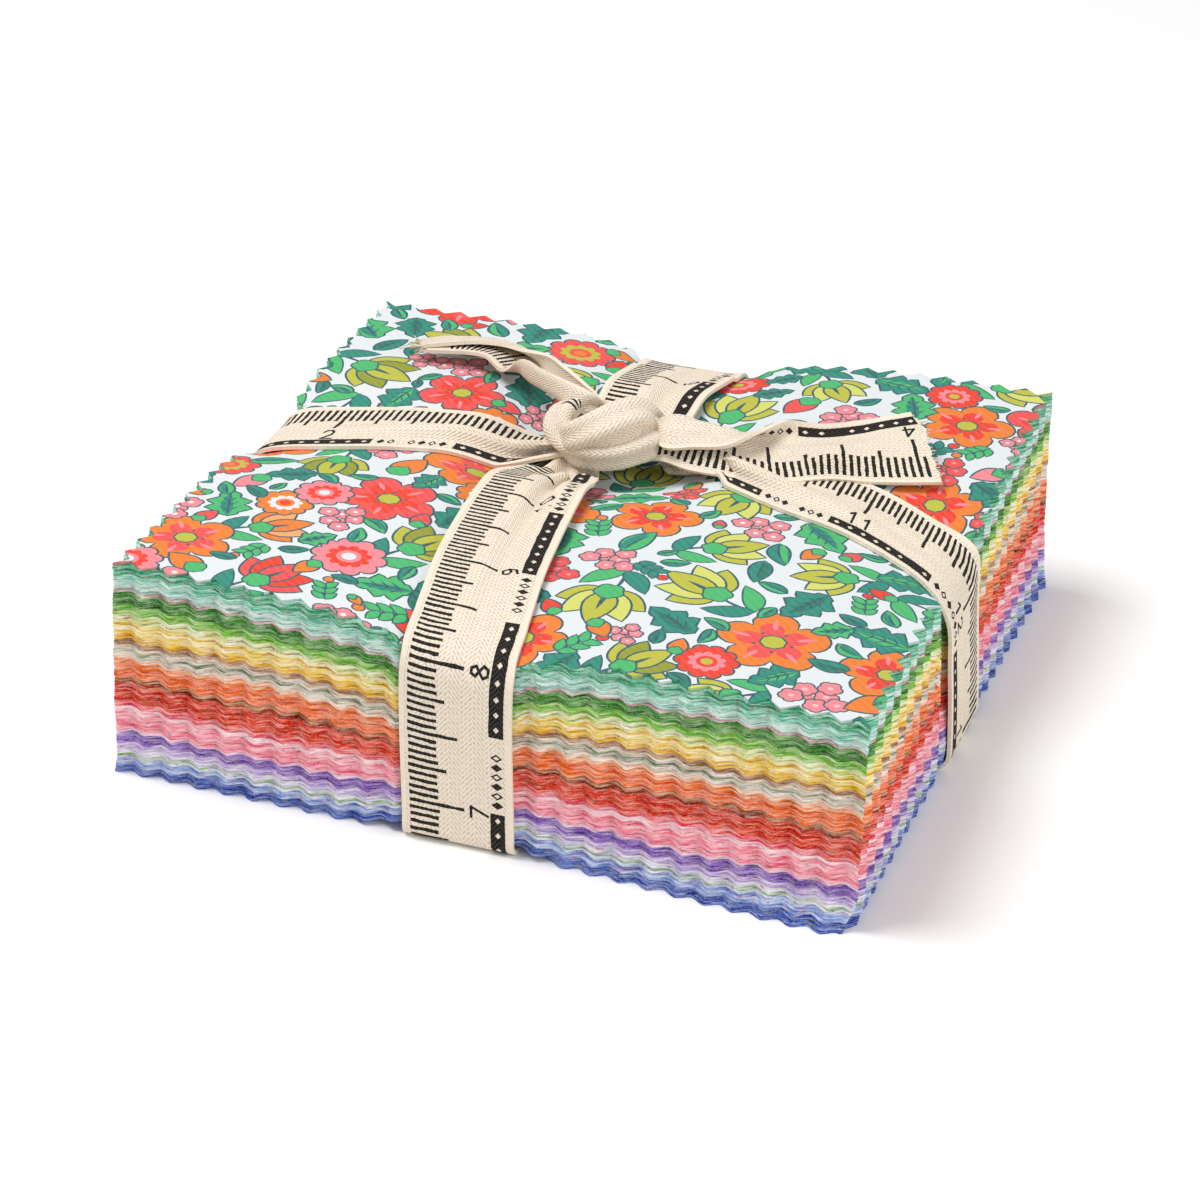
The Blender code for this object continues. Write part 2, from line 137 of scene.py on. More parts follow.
LEFT_TO_RIGHT_UNDER = (3.5, 2.0)
UNDER_CROSSING = (-3.0, 2.5)
KNOT = (-6.0, 15.8)


# Reading tables, and simple curves


def hermite(t, start, end, start_slope, end_slope, span):
    """A smooth cubic from one value to the next, with a slope at each."""
    return (
        (2 * t**3 - 3 * t**2 + 1) * start
        + (t**3 - 2 * t**2 + t) * start_slope * span
        + (3 * t**2 - 2 * t**3) * end
        + (t**3 - t**2) * end_slope * span
    )


def curve(rows):
    """A table read on a smooth curve through its rows, at fine places along its first column."""
    rows = np.array(rows, float)
    x = rows[:, 0]
    last = len(rows) - 1
    index = np.arange(len(rows))
    ahead, behind = np.minimum(index + 1, last), np.maximum(index - 1, 0)
    slopes = (rows[ahead] - rows[behind]) / (x[ahead] - x[behind])[:, None]
    fine = np.linspace(x[0], x[-1], 1200)
    i = np.clip(np.searchsorted(x, fine, side="right") - 1, 0, last - 1)
    span = (x[i + 1] - x[i])[:, None]
    t = (fine - x[i])[:, None] / span
    return fine, hermite(t, rows[i], rows[i + 1], slopes[i], slopes[i + 1], span)


FRONT_CURVE = curve(FRONT_TO_BACK)
SIDE_CURVE = curve(LEFT_TO_RIGHT)


def read(table, at, column):
    return np.interp(at, table[0], table[1][:, column])


def ramp(value):
    return np.clip(value, 0.0, 1.0)


def smooth(value):
    t = ramp(value)
    return t * t * (3 - 2 * t)


# The shape of the stack


def crush_share(from_edge, across):
    beside = 1 - smooth((np.abs(across) - CRUSH_FLAT) / CRUSH_FADE)
    return beside * (1 - ramp(from_edge / CRUSH_REACH)) ** 2


def furrow(from_knot, from_edge, across):
    at_knot = DRAW_AT_KNOT * (1 - smooth((from_knot - KNOT_FLAT) / KNOT_FADE))
    at_edge = DRAW_AT_EDGE * (1 - smooth(from_edge / DRAW_EDGE_REACH))
    fade = np.exp(-((np.maximum(np.abs(across) - FURROW_FLAT, 0) / DRAW_FADE) ** 1.6))
    return (DRAW_ALONG + at_knot + at_edge) * fade + CRUSH_AT_EDGE * crush_share(from_edge, across)


def top_height(x, y):
    u, v = ramp((x + HALF) / SQUARE), ramp((y + HALF) / SQUARE)
    near = CORNER_HEIGHTS[-1, -1] * (1 - u) + CORNER_HEIGHTS[1, -1] * u
    far = CORNER_HEIGHTS[-1, 1] * (1 - u) + CORNER_HEIGHTS[1, 1] * u
    front = furrow(np.abs(y - KNOT[1]), HALF - np.abs(y), x - read(FRONT_CURVE, y, 1))
    side = furrow(np.abs(x - KNOT[0]), HALF - np.abs(x), y - read(SIDE_CURVE, x, 1))
    side = side + CRUSH_MORE_AT_RIGHT * crush_share(HALF - x, y - read(SIDE_CURVE, x, 1))
    drawn = (front**4 + side**4) ** 0.25
    crown = QUARTER_CROWN * (1 - (np.abs(x) / HALF) ** 4) * (1 - (np.abs(y) / HALF) ** 4)
    rise = BACK_RIGHT_RISE * smooth((u - RISE_START) / RISE_REACH) * v**2
    return near * (1 - v) + far * v + crown + rise - drawn


def under_line(ends, along):
    return ends[0] + (ends[1] - ends[0]) * (along + HALF) / SQUARE


def under_band(ends, along, across):
    """How fully a band lies under a place, and how far the cloth is lifted there at an edge."""
    share = ramp(1 - (np.abs(across - under_line(ends, along)) - UNDER_FLAT) / UNDER_FADE)
    return share, LIFT_AT_EDGE * ramp(1 - (HALF - np.abs(along)) / CRUSH_REACH) * share


def bottom_height(x, y):
    front, edge_y = under_band(FRONT_TO_BACK_UNDER, y, x)
    side, edge_x = under_band(LEFT_TO_RIGHT_UNDER, x, y)
    over = (TAPE_THICK + UNDER_GAP) * np.maximum(front, side)
    return over + TAPE_THICK * np.minimum(front, side) + edge_x + edge_y


# Slow waves that the squares share, so that neighbours never cross: size, then how fast each turns
# with x, with y and with the height in the stack, and where it starts
WAVES = [
    (0.0045, 0.19, 0.15, 9.0, 0.3),
    (0.0040, -0.13, 0.21, 14.0, 1.9),
    (0.0032, 0.31, -0.27, 22.0, 4.1),
    (0.0018, 0.62, 0.55, 41.0, 2.2),
    (0.0014, -0.95, 0.84, 57.0, 5.5),
    (0.0022, 1.30, 1.12, 66.0, 0.9),
    (0.0016, -2.05, 1.76, 78.0, 3.3),
]


def level_height(x, y, f):
    low, high = bottom_height(x, y), top_height(x, y)
    ripple = sum(a * np.sin(kx * x + ky * y + kf * f + p) for a, kx, ky, kf, p in WAVES)
    window = ramp(f / 0.05) * ramp((1 - f) / 0.03)
    return low + (high - low) * (f + ripple * window)


def pull_in(points, f):
    """Moves points near an edge in, where the tape bends the upper squares over the edge."""
    x, y = points[:, 0], points[:, 1]
    pull = PULL_IN * f**3
    share_x = crush_share(HALF - np.abs(x), y - read(SIDE_CURVE, x, 1))
    share_y = crush_share(HALF - np.abs(y), x - read(FRONT_CURVE, y, 1))
    return points - np.stack([np.copysign(share_x, x), np.copysign(share_y, y)], 1) * pull


def fan_out(x, y, f):
    """How far the lower squares stand forward near the front right corner."""
    reach = FAN_OUT * smooth((x - FAN_START) / FAN_REACH)
    return reach * ramp((HALF - y) / SQUARE) * ramp(1 - f / FAN_SHARE) ** 1.4


def lean(x, y, f):
    """How far the stack leans out of true at a height in it, given as a share."""
    low = (1 - f) ** 2
    corner = ramp((x + HALF) / SQUARE) * ramp((y + HALF) / SQUARE)
    dx = LEAN_RIGHT * low - LEAN_LEFT * f + corner * (CORNER_OUT * low - CORNER_IN * f)
    return dx, -BOTTOM_FORWARD * np.maximum(0.0, 1 - f / BOTTOM_SHARE) - fan_out(x, y, f)


# Meshes


def make_object(name, points, faces, material, sharp=None):
    """A mesh in metres, smooth but for edges sharper than an angle in degrees, if one is given."""
    data = bpy.data.meshes.new(name)
    data.from_pydata((np.asarray(points) * MM).tolist(), [], [list(map(int, face)) for face in faces])
    data.shade_smooth()
    if sharp:
        data.set_sharp_from_angle(angle=math.radians(sharp))
    data.materials.append(material)
    obj = bpy.data.objects.new(name, data)
    bpy.context.scene.collection.objects.link(obj)
    return obj


def face_values(obj, name, values):
    """Gives every corner of a face that face's colour or number."""
    totals = np.empty(len(obj.data.polygons), np.int32)
    obj.data.polygons.foreach_get("loop_total", totals)
    values = np.repeat(np.asarray(values, float), totals, axis=0)
    kind, field = ("FLOAT", "value") if values.ndim == 1 else ("FLOAT_COLOR", "color")
    layer = obj.data.attributes.new(name, kind, "CORNER")
    layer.data.foreach_set(field, values.ravel().astype(np.float32))


def triangulated(points, edges, rings, kind, close):
    """Triangles over flat points: the places, the triangles, and the points and rings they came from."""
    points = [Vector(p) for p in points.tolist()]
    places, _, faces, sources, _, owners = delaunay_2d_cdt(points, edges, rings, kind, close)
    return np.array([tuple(p) for p in places]), np.array([tuple(f) for f in faces]), sources, owners


def rings_from(start, shapes):
    """The numbers of each shape's points, where the shapes' points follow one another."""
    starts = np.cumsum([start, *[len(shape) for shape in shapes]]).tolist()
    return [list(range(a, b)) for a, b in zip(starts[:-1], starts[1:])]


def grid_of(reach, count):
    ticks = np.linspace(-reach, reach, count)
    return np.stack(np.meshgrid(ticks, ticks), -1).reshape(-1, 2)


# Paints


def paint(code):
    """A colour code as linear red, green, blue and alpha."""
    srgb = [int(code[i : i + 2], 16) / 255 for i in (1, 3, 5)]
    return (*[c / 12.92 if c <= 0.04045 else ((c + 0.055) / 1.055) ** 2.4 for c in srgb], 1.0)


class Nodes:
    """Short ways to lay out the nodes of one material."""

    def __init__(self, name):
        self.material = bpy.data.materials.new(name)
        self.material.use_nodes = True
        self.tree = self.material.node_tree
        self.shader = self.tree.nodes["Principled BSDF"]
        self.shader.inputs["Metallic"].default_value = 0.0

    def add(self, kind, inputs=(), **settings):
        node = self.tree.nodes.new(kind)
        for key, value in settings.items():
            setattr(node, key, value)
        for key, value in dict(inputs).items():
            self.set(node.inputs[key], value)
        return node

    def set(self, socket, value):
        if isinstance(value, bpy.types.NodeSocket):
            self.tree.links.new(value, socket)
        else:
            socket.default_value = value

    def math(self, operation, *values):
        node = self.add("ShaderNodeMath", operation=operation)
        for socket, value in zip(node.inputs, values):
            self.set(socket, value)
        return node.outputs[0]

    def times(self, one, two):
        return self.math("MULTIPLY", one, two)

    def plus(self, one, two):
        return self.math("ADD", one, two)

    def mix(self, factor, one, two):
        inputs = {"Factor": factor, "A": one, "B": two}
        return self.add("ShaderNodeMix", inputs, data_type="RGBA", blend_type="MIX").outputs["Result"]

    def place(self, scale, move=(0, 0, 0)):
        """Object coordinates, stretched."""
        where = self.add("ShaderNodeTexCoord").outputs["Object"]
        return self.add("ShaderNodeMapping", {"Vector": where, "Scale": scale, "Location": move}).outputs[0]

    def noise(self, scale, detail, roughness, move=(0, 0, 0)):
        inputs = {"Vector": self.place(scale, move), "Scale": 1.0, "Detail": detail, "Roughness": roughness}
        return self.add("ShaderNodeTexNoise", inputs).outputs["Fac"]

    def ramp(self, factor, stops):
        node = self.add("ShaderNodeValToRGB", {"Fac": factor})
        ramp_stops = node.color_ramp.elements
        while len(ramp_stops) < len(stops):
            ramp_stops.new(0.5)
        for stop, (position, colour) in zip(ramp_stops, stops):
            stop.position = position
            stop.color = colour
        return node.outputs["Color"]

    def tint(self, colour, value, clear, full, share, other):
        """Mixes a share of another colour in, from none where the value is clear to all where it is full."""
        stops = sorted([(clear, (0, 0, 0, 1)), (full, (1, 1, 1, 1))])
        return self.mix(self.times(self.ramp(value, stops), share), colour, paint(other))

    def surface(self, colour, roughness, specular=0.5):
        self.set(self.shader.inputs["Base Color"], colour)
        self.shader.inputs["Roughness"].default_value = roughness
        self.shader.inputs["Specular IOR Level"].default_value = specular
        return self.material

    def bump(self, height, strength, distance):
        inputs = {"Height": height, "Strength": strength, "Distance": distance * MM}
        self.set(self.shader.inputs["Normal"], self.add("ShaderNodeBump", inputs).outputs[0])


THREAD_WHITE = "#F6F0EA"


# The noises in a cut edge: how fine each is round the stack and up it, its detail and its roughness
RUNS = ((210, 210, 2100), 3.0, 0.62)
DASHES = ((430, 430, 4700), 2.0, 0.65)
SPECKS = ((700, 700, 5200), 1.0, 0.5)
THREADS = ((2600, 2600, 5200), 2.0, 0.7)


def rim_cloth(name, dark, main, light, fleck, seed):
    """Printed cotton seen at its cut edge: short dashes of colour, broken by the white of the threads, and
    darker dashes where the edge's bump is low, in the print's dark colour but standing for painted shade in
    the hollows of the edge.
    """
    n = Nodes(name)
    runs = n.noise(*RUNS, (seed, 2 * seed, 0))
    colour = n.ramp(runs, [(0.34, paint(dark)), (0.47, paint(main)), (0.62, paint(light))])
    dashes_and_shade = n.noise(*DASHES, (5 * seed, seed, 0))
    colour = n.tint(colour, dashes_and_shade, 0.52, 0.62, 0.32, THREAD_WHITE)
    # Darker dashes where the bump is low: painted shade in the hollows of the cut edge, in the print's dark
    # colour
    colour = n.tint(colour, dashes_and_shade, 0.42, 0.33, 0.34, dark)
    flecks = n.noise(*SPECKS, (0, 4 * seed, seed))
    colour = n.tint(colour, flecks, 0.63, 0.68, 0.7, fleck)
    threads = n.noise(*THREADS, (3 * seed, 0, seed))
    colour = n.tint(colour, threads, 0.52, 0.74, 0.32, THREAD_WHITE)
    rich = n.add("ShaderNodeHueSaturation", {"Saturation": 1.1, "Value": 0.98, "Color": colour})
    n.bump(n.plus(threads, dashes_and_shade), 0.40, 0.20)
    return n.surface(rich.outputs["Color"], 0.95, 0.12)


# The squares from the bottom up: how many, then the dark, main and light colour of their print
FABRICS = (
    (4, "#24357E", "#465EAE", "#8496CE"),
    (3, "#5C78B8", "#98AEDC", "#D2DCF0"),
    (1, "#8698BE", "#CBD4E4", "#F0F2F6"),
    (1, "#5E9448", "#A9C09A", "#DDE4D6"),
    (2, "#A4A4C8", "#D2D0E0", "#F2F0F5"),
    (2, "#A083C6", "#C2ABDA", "#E8E0F0"),
    (4, "#55348A", "#8560B2", "#B49AD2"),
    (1, "#CC88A8", "#ECC8D4", "#F8E8EC"),
    (3, "#E05C78", "#F494A6", "#FBC6CF"),
    (3, "#EA7088", "#F7A3B0", "#FCD4DA"),
    (2, "#E698A6", "#F6C8D0", "#FBE9EB"),
    (2, "#D63C4E", "#EC6E74", "#F6B4B6"),
    (4, "#A41C14", "#D63A2A", "#EE8474"),
    (3, "#BC3022", "#DE5040", "#F29888"),
    (2, "#6E2218", "#B43E2A", "#E08A70"),
    (1, "#66442E", "#A6704E", "#D8AC90"),
    (6, "#CC5420", "#EF7F50", "#F8B094"),
    (2, "#DA6C3C", "#F29C70", "#F9CEB4"),
    (1, "#DCA080", "#F2D2BC", "#F9ECE0"),
    (2, "#A89A88", "#D6CABA", "#F1EBE1"),
    (1, "#46643E", "#90A086", "#D6DACC"),
    (2, "#A08876", "#D4C2B2", "#F1EADF"),
    (2, "#74502E", "#A87E5C", "#DCC0A2"),
    (1, "#CC9018", "#E8B034", "#F5DC98"),
    (2, "#DCA226", "#F0C454", "#F9E5B0"),
    (2, "#E0BE48", "#F2DE8A", "#FBF3D2"),
    (1, "#DCA226", "#F0C454", "#F9E5B0"),
    (1, "#E0BE48", "#F2DE8A", "#FBF3D2"),
    (3, "#BAC65C", "#DFE4AA", "#F5F5E2"),
    (3, "#429424", "#78B844", "#C0DE9A"),
    (5, "#1E5418", "#36802C", "#86B272"),
    (1, "#A4404E", "#BC9E9C", "#DFDCD6"),
    (3, "#7CB4A6", "#B2D6CC", "#E8F2EE"),
    (3, "#4CA68C", "#94D0BC", "#DAEFE6"),
    (2, "#188058", "#48A882", "#A0D6BE"),
    (2, "#0A6E48", "#2F986E", "#A8DAC4"),
)


# The second colours of the prints, seen here and there in a cut edge
FLECKS = ("#6E7F4C", "#C2607A", "#7C5A44")


def fabric_list():
    """One material for each fabric, and the material of each square from the bottom up."""
    chosen = []
    for number, (count, dark, main, light) in enumerate(FABRICS):
        seed = 1.7 * number + 0.4
        chosen += [rim_cloth(f"cotton_{number + 1:02d}", dark, main, light, FLECKS[number % 3], seed)] * count
    return chosen


# The squares


def pinked(per_tooth, depths, sharp):
    """The zigzag outline of a square, anticlockwise, and the way out of the square at each point."""
    sides = (
        ((-HALF, -HALF), (1, 0), TEETH_ALONG_X),
        ((HALF, -HALF), (0, 1), TEETH_ALONG_Y),
        ((HALF, HALF), (-1, 0), TEETH_ALONG_X),
        ((-HALF, HALF), (0, -1), TEETH_ALONG_Y),
    )
    points, outward = [], []
    steps = np.arange(per_tooth) / per_tooth
    deep = 0.5 - np.arcsin(sharp * np.cos(2 * np.pi * steps)) / (2 * np.arcsin(sharp))
    for depth, (corner, along, teeth) in zip(depths, sides):
        along, corner = np.array(along, float), np.array(corner)
        out = np.array([along[1], -along[0]])
        for tooth in range(teeth):
            for step, inward in zip(steps, depth * deep):
                points.append(corner + along * SQUARE / teeth * (tooth + step) - out * inward)
                outward.append(out)
    return np.array(points), np.array(outward)


def flat_sheet(outline, spacing):
    """Triangles over an outline, with a grid of points inside it."""
    reach = HALF - TOOTH_DEPTH - 1.6
    count = len(outline)
    ring = [(i, (i + 1) % count) for i in range(count)]
    points = np.concatenate([outline, grid_of(reach, int(2 * reach / spacing) + 1)])
    return triangulated(points, ring, [], 1, 1e-6)[:2]


def sheet_levels():
    """The height in the stack of each square's lower face, as a share, and of the top."""
    thick = 1 + 0.10 * rng.standard_normal(SHEETS)
    return np.concatenate([[0], np.cumsum(thick)]) / thick.sum()


def slow_walk(reach, keep=0.86):
    """A list of small offsets for the squares, each near the one before it."""
    value, made = 0.0, []
    for _ in range(SHEETS):
        value = keep * value + reach * math.sqrt(1 - keep**2) * rng.standard_normal()
        made.append(value)
    return made


SHIFT_X, SHIFT_Y = slow_walk(0.07), slow_walk(0.08)
TURN = slow_walk(0.0006)
PHASES = [slow_walk(0.45, 0.6) for _ in range(4)]
LEVELS = sheet_levels()

# How far the teeth of one square slide along each side, and how ragged its cut is: waves round the
# square and their sizes, then a jitter
SIDE_WAYS = np.array([(1, 0), (0, 1), (-1, 0), (0, -1)])
SLIDE = (0.12, 0.05, 0.7, 0.8)
RAGGED = ((9, 0.05), (23, 0.04), (51, 0.03), (104, 0.03))
JITTER = 0.012
RIM_INSET = 0.1
RIM_BULGE = 0.03
SHEET_GAP = 0.005
SHARP = 50


def placed(points, number):
    """Where a square's flat points lie in the stack: shifted, turned and leaning a little."""
    f = (number + 0.5) / SHEETS
    x, y = points[:, 0], points[:, 1]
    angle = TURN[number] - BOTTOM_TURN * max(0.0, 1 - f / BOTTOM_SHARE)
    dx, dy = lean(x, y, f)
    rounded = ROUNDED_BY * np.maximum(x - y - SQUARE + ROUNDED_CORNER, 0) * ramp(1.2 - f / ROUNDED_SHARE)
    dx = dx + SHIFT_X[number] - angle * y - rounded
    dy = dy + SHIFT_Y[number] + angle * x + rounded
    return np.stack([x + dx, y + dy], 1)


def square_points(base, outward, number):
    """The lower and upper faces of one square, and the middle of its cut edge."""
    count = len(outward)
    along = np.arange(count) / count * 2 * np.pi
    ragged = 0.05 * rng.standard_normal()
    for cycles, size in RAGGED:
        ragged = ragged + size * np.sin(cycles * along + rng.uniform(0, 6.28))
    flat = base.copy()
    flat[:count] += outward * (ragged - RIM_INSET)[:, None]
    f = number / SHEETS
    for side, way in enumerate(SIDE_WAYS):
        on_side = np.flatnonzero(outward @ np.array([way[1], -way[0]]) > 0.5)
        from_corner = HALF - np.abs(base[on_side] @ way)
        slide = PHASES[side][number] * SLIDE[side] * (0.25 + 1.5 * f**1.5) * smooth(from_corner / 6.0)
        flat[on_side] += slide[:, None] * way
    flat = pull_in(placed(flat, number), (number + 0.5) / SHEETS)
    bottom = level_height(flat[:, 0], flat[:, 1], LEVELS[number]) + (SHEET_GAP if number else 0.0)
    top = level_height(flat[:, 0], flat[:, 1], LEVELS[number + 1]) - SHEET_GAP
    rim = flat[:count] + outward * RIM_BULGE + rng.normal(0, JITTER, (count, 2))
    rim = np.column_stack([rim, (bottom[:count] + top[:count]) / 2])
    return np.concatenate([np.column_stack([flat, bottom]), np.column_stack([flat, top]), rim])


def build_squares(fabrics):
    outline, outward = pinked(6, WORN_TOOTH_DEPTHS, 0.8)
    base, faces = flat_sheet(outline, 6.0)
    total = len(base)
    ring = np.arange(len(outline))
    following = np.roll(ring, -1)
    low = np.stack([ring, following, 2 * total + following, 2 * total + ring], 1)
    high = np.stack([2 * total + ring, 2 * total + following, total + following, total + ring], 1)
    all_faces = [*faces[:, ::-1].tolist(), *(faces + total).tolist(), *low.tolist(), *high.tolist()]
    for number in range(SHEETS - 1):
        points = square_points(base, outward, number)
        obj = make_object(f"square_{number + 1:02d}", points, all_faces, fabrics[number], SHARP)
        declare_square(obj, number)


def declare_square(obj, number):
    node = f"squares_{number // SHEETS_IN_A_NODE + 1:02d}"
    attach(obj, "root")
    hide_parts(node)


# The print of the top square: flowers and leaves, drawn as flat polygons that lie over one another

GROUND, OUTLINE, DEEP_GREEN = "#D9DEE0", "#285860", "#16725F"
CHARTREUSE, ORANGE, RED, CORAL = "#B6B537", "#E47922", "#E33720", "#E44B47"
PINK, TEAL_GREEN, BRIGHT_GREEN = "#E5828B", "#1C8472", "#42B067"
LINE = 0.4
THIN_LINE = 0.8 * LINE


def polar(radius_at, count, turn=0.0):
    angle = np.arange(count) / count * 2 * np.pi
    radius = radius_at(angle)
    return np.stack([np.cos(angle + turn) * radius, np.sin(angle + turn) * radius], 1)


def petals(count, size, depth, points, turn=0.0):
    return polar(lambda a: size * (1 - depth + depth * np.abs(np.cos(count * a / 2)) ** 0.7), points, turn)


def disc(radius, points, place=(0, 0)):
    return polar(lambda a: radius + 0 * a, points) + place


def leaf_shape(length, width, bend, count):
    t = np.linspace(0, 1, count // 2 + 1)
    half = width / 2 * np.sin(np.pi * t**0.8) ** 0.9
    x = np.concatenate([t, t[-2:0:-1]]) * length
    y = np.concatenate([-half, half[-2:0:-1]])
    return np.stack([x, y + bend * np.sin(np.pi * x / length)], 1)


def turned(points, angle):
    c, s = math.cos(angle), math.sin(angle)
    return points @ np.array([[c, s], [-s, c]])


def outlined(shape, colour, line=LINE):
    """A polygon on a dark one that is a little larger all round."""
    way = np.roll(shape, -1, 0) - np.roll(shape, 1, 0)
    out = np.stack([way[:, 1], -way[:, 0]], 1)
    larger = shape + line * out / np.maximum(np.linalg.norm(out, axis=1), 1e-9)[:, None]
    return [(larger, OUTLINE), (shape, colour)]


def pick(choices):
    return choices[rng.integers(len(choices))]


def blossom(size):
    """A large open flower: five petals with a darker heart, rays and a dotted middle."""
    main, heart = pick([(ORANGE, RED), (RED, CORAL), (CORAL, RED), (ORANGE, CORAL), (ORANGE, CORAL)])
    layers = outlined(petals(5, size / 2, 0.36, 50), main)
    layers.append((petals(5, size * 0.33, 0.5, 40, 0.12), heart))
    ray = leaf_shape(size * 0.20, size * 0.05, 0, 8) + [size * 0.20, 0]
    layers += [(turned(ray, 2 * np.pi * k / 5), PINK) for k in range(5)]
    layers += outlined(petals(8, size * 0.11, 0.2, 24), CHARTREUSE, THIN_LINE)
    for angle in 2 * np.pi * (np.arange(5) + 0.5) / 5:
        place = [size * 0.17 * np.cos(angle), size * 0.17 * np.sin(angle)]
        layers.append((disc(size * 0.018, 6, place), OUTLINE))
    return layers


def fan_flower(size):
    """A flower from the side: five pointed petals out of a green cup, on a bent stalk with two leaves."""
    yellow = (CHARTREUSE, "#CDCF66")
    one, two = pick([yellow, (CHARTREUSE, "#8D9320"), yellow, (CORAL, RED), (ORANGE, "#EDA160")])
    layers = [(leaf_shape(size * 0.5, 0.7, size * 0.04, 10) - [size * 0.46, 0], OUTLINE)]
    for side, green in ((1, TEAL_GREEN), (-1, BRIGHT_GREEN)):
        blade = turned(leaf_shape(size * 0.46, size * 0.18, side * size * 0.03, 14), side * 0.7)
        layers += outlined(blade - [size * 0.42, 0], green, THIN_LINE)
    for way, long in ((-1.05, 0.46), (1.05, 0.46), (-0.54, 0.54), (0.54, 0.54), (0.0, 0.58)):
        petal = turned(leaf_shape(size * long, size * 0.27, 0, 16), way)
        layers += outlined(petal, two if abs(way) == 0.54 else one)
        layers.append((turned(leaf_shape(size * long * 0.6, size * 0.05, 0, 8), way), OUTLINE))
    return layers + outlined(petals(5, size * 0.13, 0.2, 24), BRIGHT_GREEN, THIN_LINE)


def lobed_leaf(size):
    """A leaf with pointed lobes and dark veins."""
    one, two = pick([(TEAL_GREEN, DEEP_GREEN), (BRIGHT_GREEN, TEAL_GREEN), (TEAL_GREEN, BRIGHT_GREEN)])
    t = np.linspace(0, 1, 15)
    edge = 0.30 * np.sin(np.pi * t**0.75) * (1 + 0.28 * np.cos(2 * np.pi * 3.5 * t)) + 0.01
    side = np.stack([t, edge], 1) * size
    layers = outlined(np.concatenate([side * [1, -1], side[-2:0:-1]]), one)
    layers.append((leaf_shape(size * 0.9, size * 0.20, size * 0.03, 12), two))
    layers.append((leaf_shape(size * 0.92, 0.5, 0, 10), OUTLINE))
    for k in range(3):
        for way in (-0.75, 0.75):
            vein = turned(leaf_shape(size * (0.26 - 0.04 * k), 0.34, 0, 6), way)
            layers.append((vein + [size * (0.18 + 0.2 * k), 0], OUTLINE))
    return layers


def cluster(size):
    """Small round florets in a bunch."""
    main, dot = pick([(PINK, "#F0B4BA"), (CORAL, PINK), (PINK, GROUND)])
    layers = []
    for k in range(7):
        angle = k * 2.4
        middle = np.array([math.cos(angle), math.sin(angle)]) * (size * 0.12 * math.sqrt(k * 1.6))
        layers += outlined(petals(5, size * 0.17, 0.2, 20, angle) + middle, main, THIN_LINE)
        layers.append((disc(size * 0.045, 7, middle), dot))
    return layers


def daisy(size):
    """A small round flower with many scallops and rings."""
    outer, ring, middle = pick(
        [(RED, PINK, CHARTREUSE), (PINK, RED, GROUND), (ORANGE, GROUND, RED), (CORAL, CHARTREUSE, ORANGE)]
    )
    layers = outlined(petals(10, size / 2, 0.18, 60), outer)
    layers.append((petals(10, size * 0.31, 0.22, 40, 0.31), ring))
    return [*layers, (disc(size * 0.17, 14), outer), (disc(size * 0.10, 10), middle)]


def bud(size):
    """A closed bud held in a green cup."""
    main = pick([RED, PINK, ORANGE, CORAL])
    cup = leaf_shape(size * 0.5, size * 0.5, 0, 12) - [size * 0.08, 0]
    return outlined(leaf_shape(size, size * 0.62, 0, 16), main) + outlined(cup, BRIGHT_GREEN, 0.7 * LINE)


def leaf(size):
    """One leaf, two greens, with a dark midrib."""
    one, two = pick([(BRIGHT_GREEN, TEAL_GREEN), (TEAL_GREEN, DEEP_GREEN), (TEAL_GREEN, BRIGHT_GREEN)])
    bend = size * rng.uniform(-0.12, 0.12)
    half = leaf_shape(size * 0.94, size * 0.22, bend, 14) + [size * 0.02, size * 0.08]
    rib = leaf_shape(size * 0.86, 0.5, bend, 10)
    return [*outlined(leaf_shape(size, size * 0.46, bend, 20), one), (half, two), (rib, OUTLINE)]


def sprig(size):
    """A stalk with small leaves to both sides and a berry at its tip."""
    green = pick([TEAL_GREEN, BRIGHT_GREEN])
    layers = [(leaf_shape(size, 0.55, size * 0.08, 14), OUTLINE)]
    for k in range(3):
        for way in (-0.8, 0.8):
            small = turned(leaf_shape(size * 0.40, size * 0.20, 0, 12), way)
            layers += outlined(small + [size * (0.12 + 0.26 * k), size * 0.06], green, 0.3)
    berry = disc(size * 0.11, 14, [size * 1.04, 0])
    return layers + outlined(berry, RED if rng.random() < 0.5 else ORANGE, 0.3)


def scattered(sizes, taken, room):
    """Places for motifs of these sizes, apart from one another: (x, y, size)."""
    found = []
    for size in sizes:
        for _ in range(60):
            x, y = rng.uniform(-HALF - 3, HALF + 3, 2)
            if all(math.hypot(x - a, y - b) > (size + c) / 2 * room for a, b, c in taken):
                taken.append((x, y, size))
                found.append((x, y, size))
                break
    return found


# The motifs from the largest to the smallest: what they may be, how many are tried, their sizes from
# and to, and the share of their size that they keep clear
MOTIFS = (
    ((blossom, fan_flower, fan_flower), 40, 14.5, 19.0, 0.86),
    ((lobed_leaf, lobed_leaf, lobed_leaf, daisy, cluster), 100, 9.5, 12.5, 0.80),
    ((leaf, sprig, lobed_leaf, cluster, bud), 140, 6.5, 9.0, 0.80),
    ((leaf, leaf, bud), 190, 4.4, 6.0, 0.80),
    ((bud, leaf), 130, 2.8, 3.8, 0.90),
)


def print_layers():
    """Every polygon of the print with its colour, in the order in which they lie over one another."""
    taken, layers = [], []
    for makers, count, low, high, room in MOTIFS:
        for x, y, size in scattered(rng.uniform(low, high, count), taken, room):
            angle = rng.uniform(0, 2 * np.pi)
            drawn = pick(makers)(size)
            middle = np.concatenate([shape for shape, _ in drawn]).mean(0)
            layers += [(turned(shape - middle, angle) + [x, y], colour) for shape, colour in drawn]
    return layers


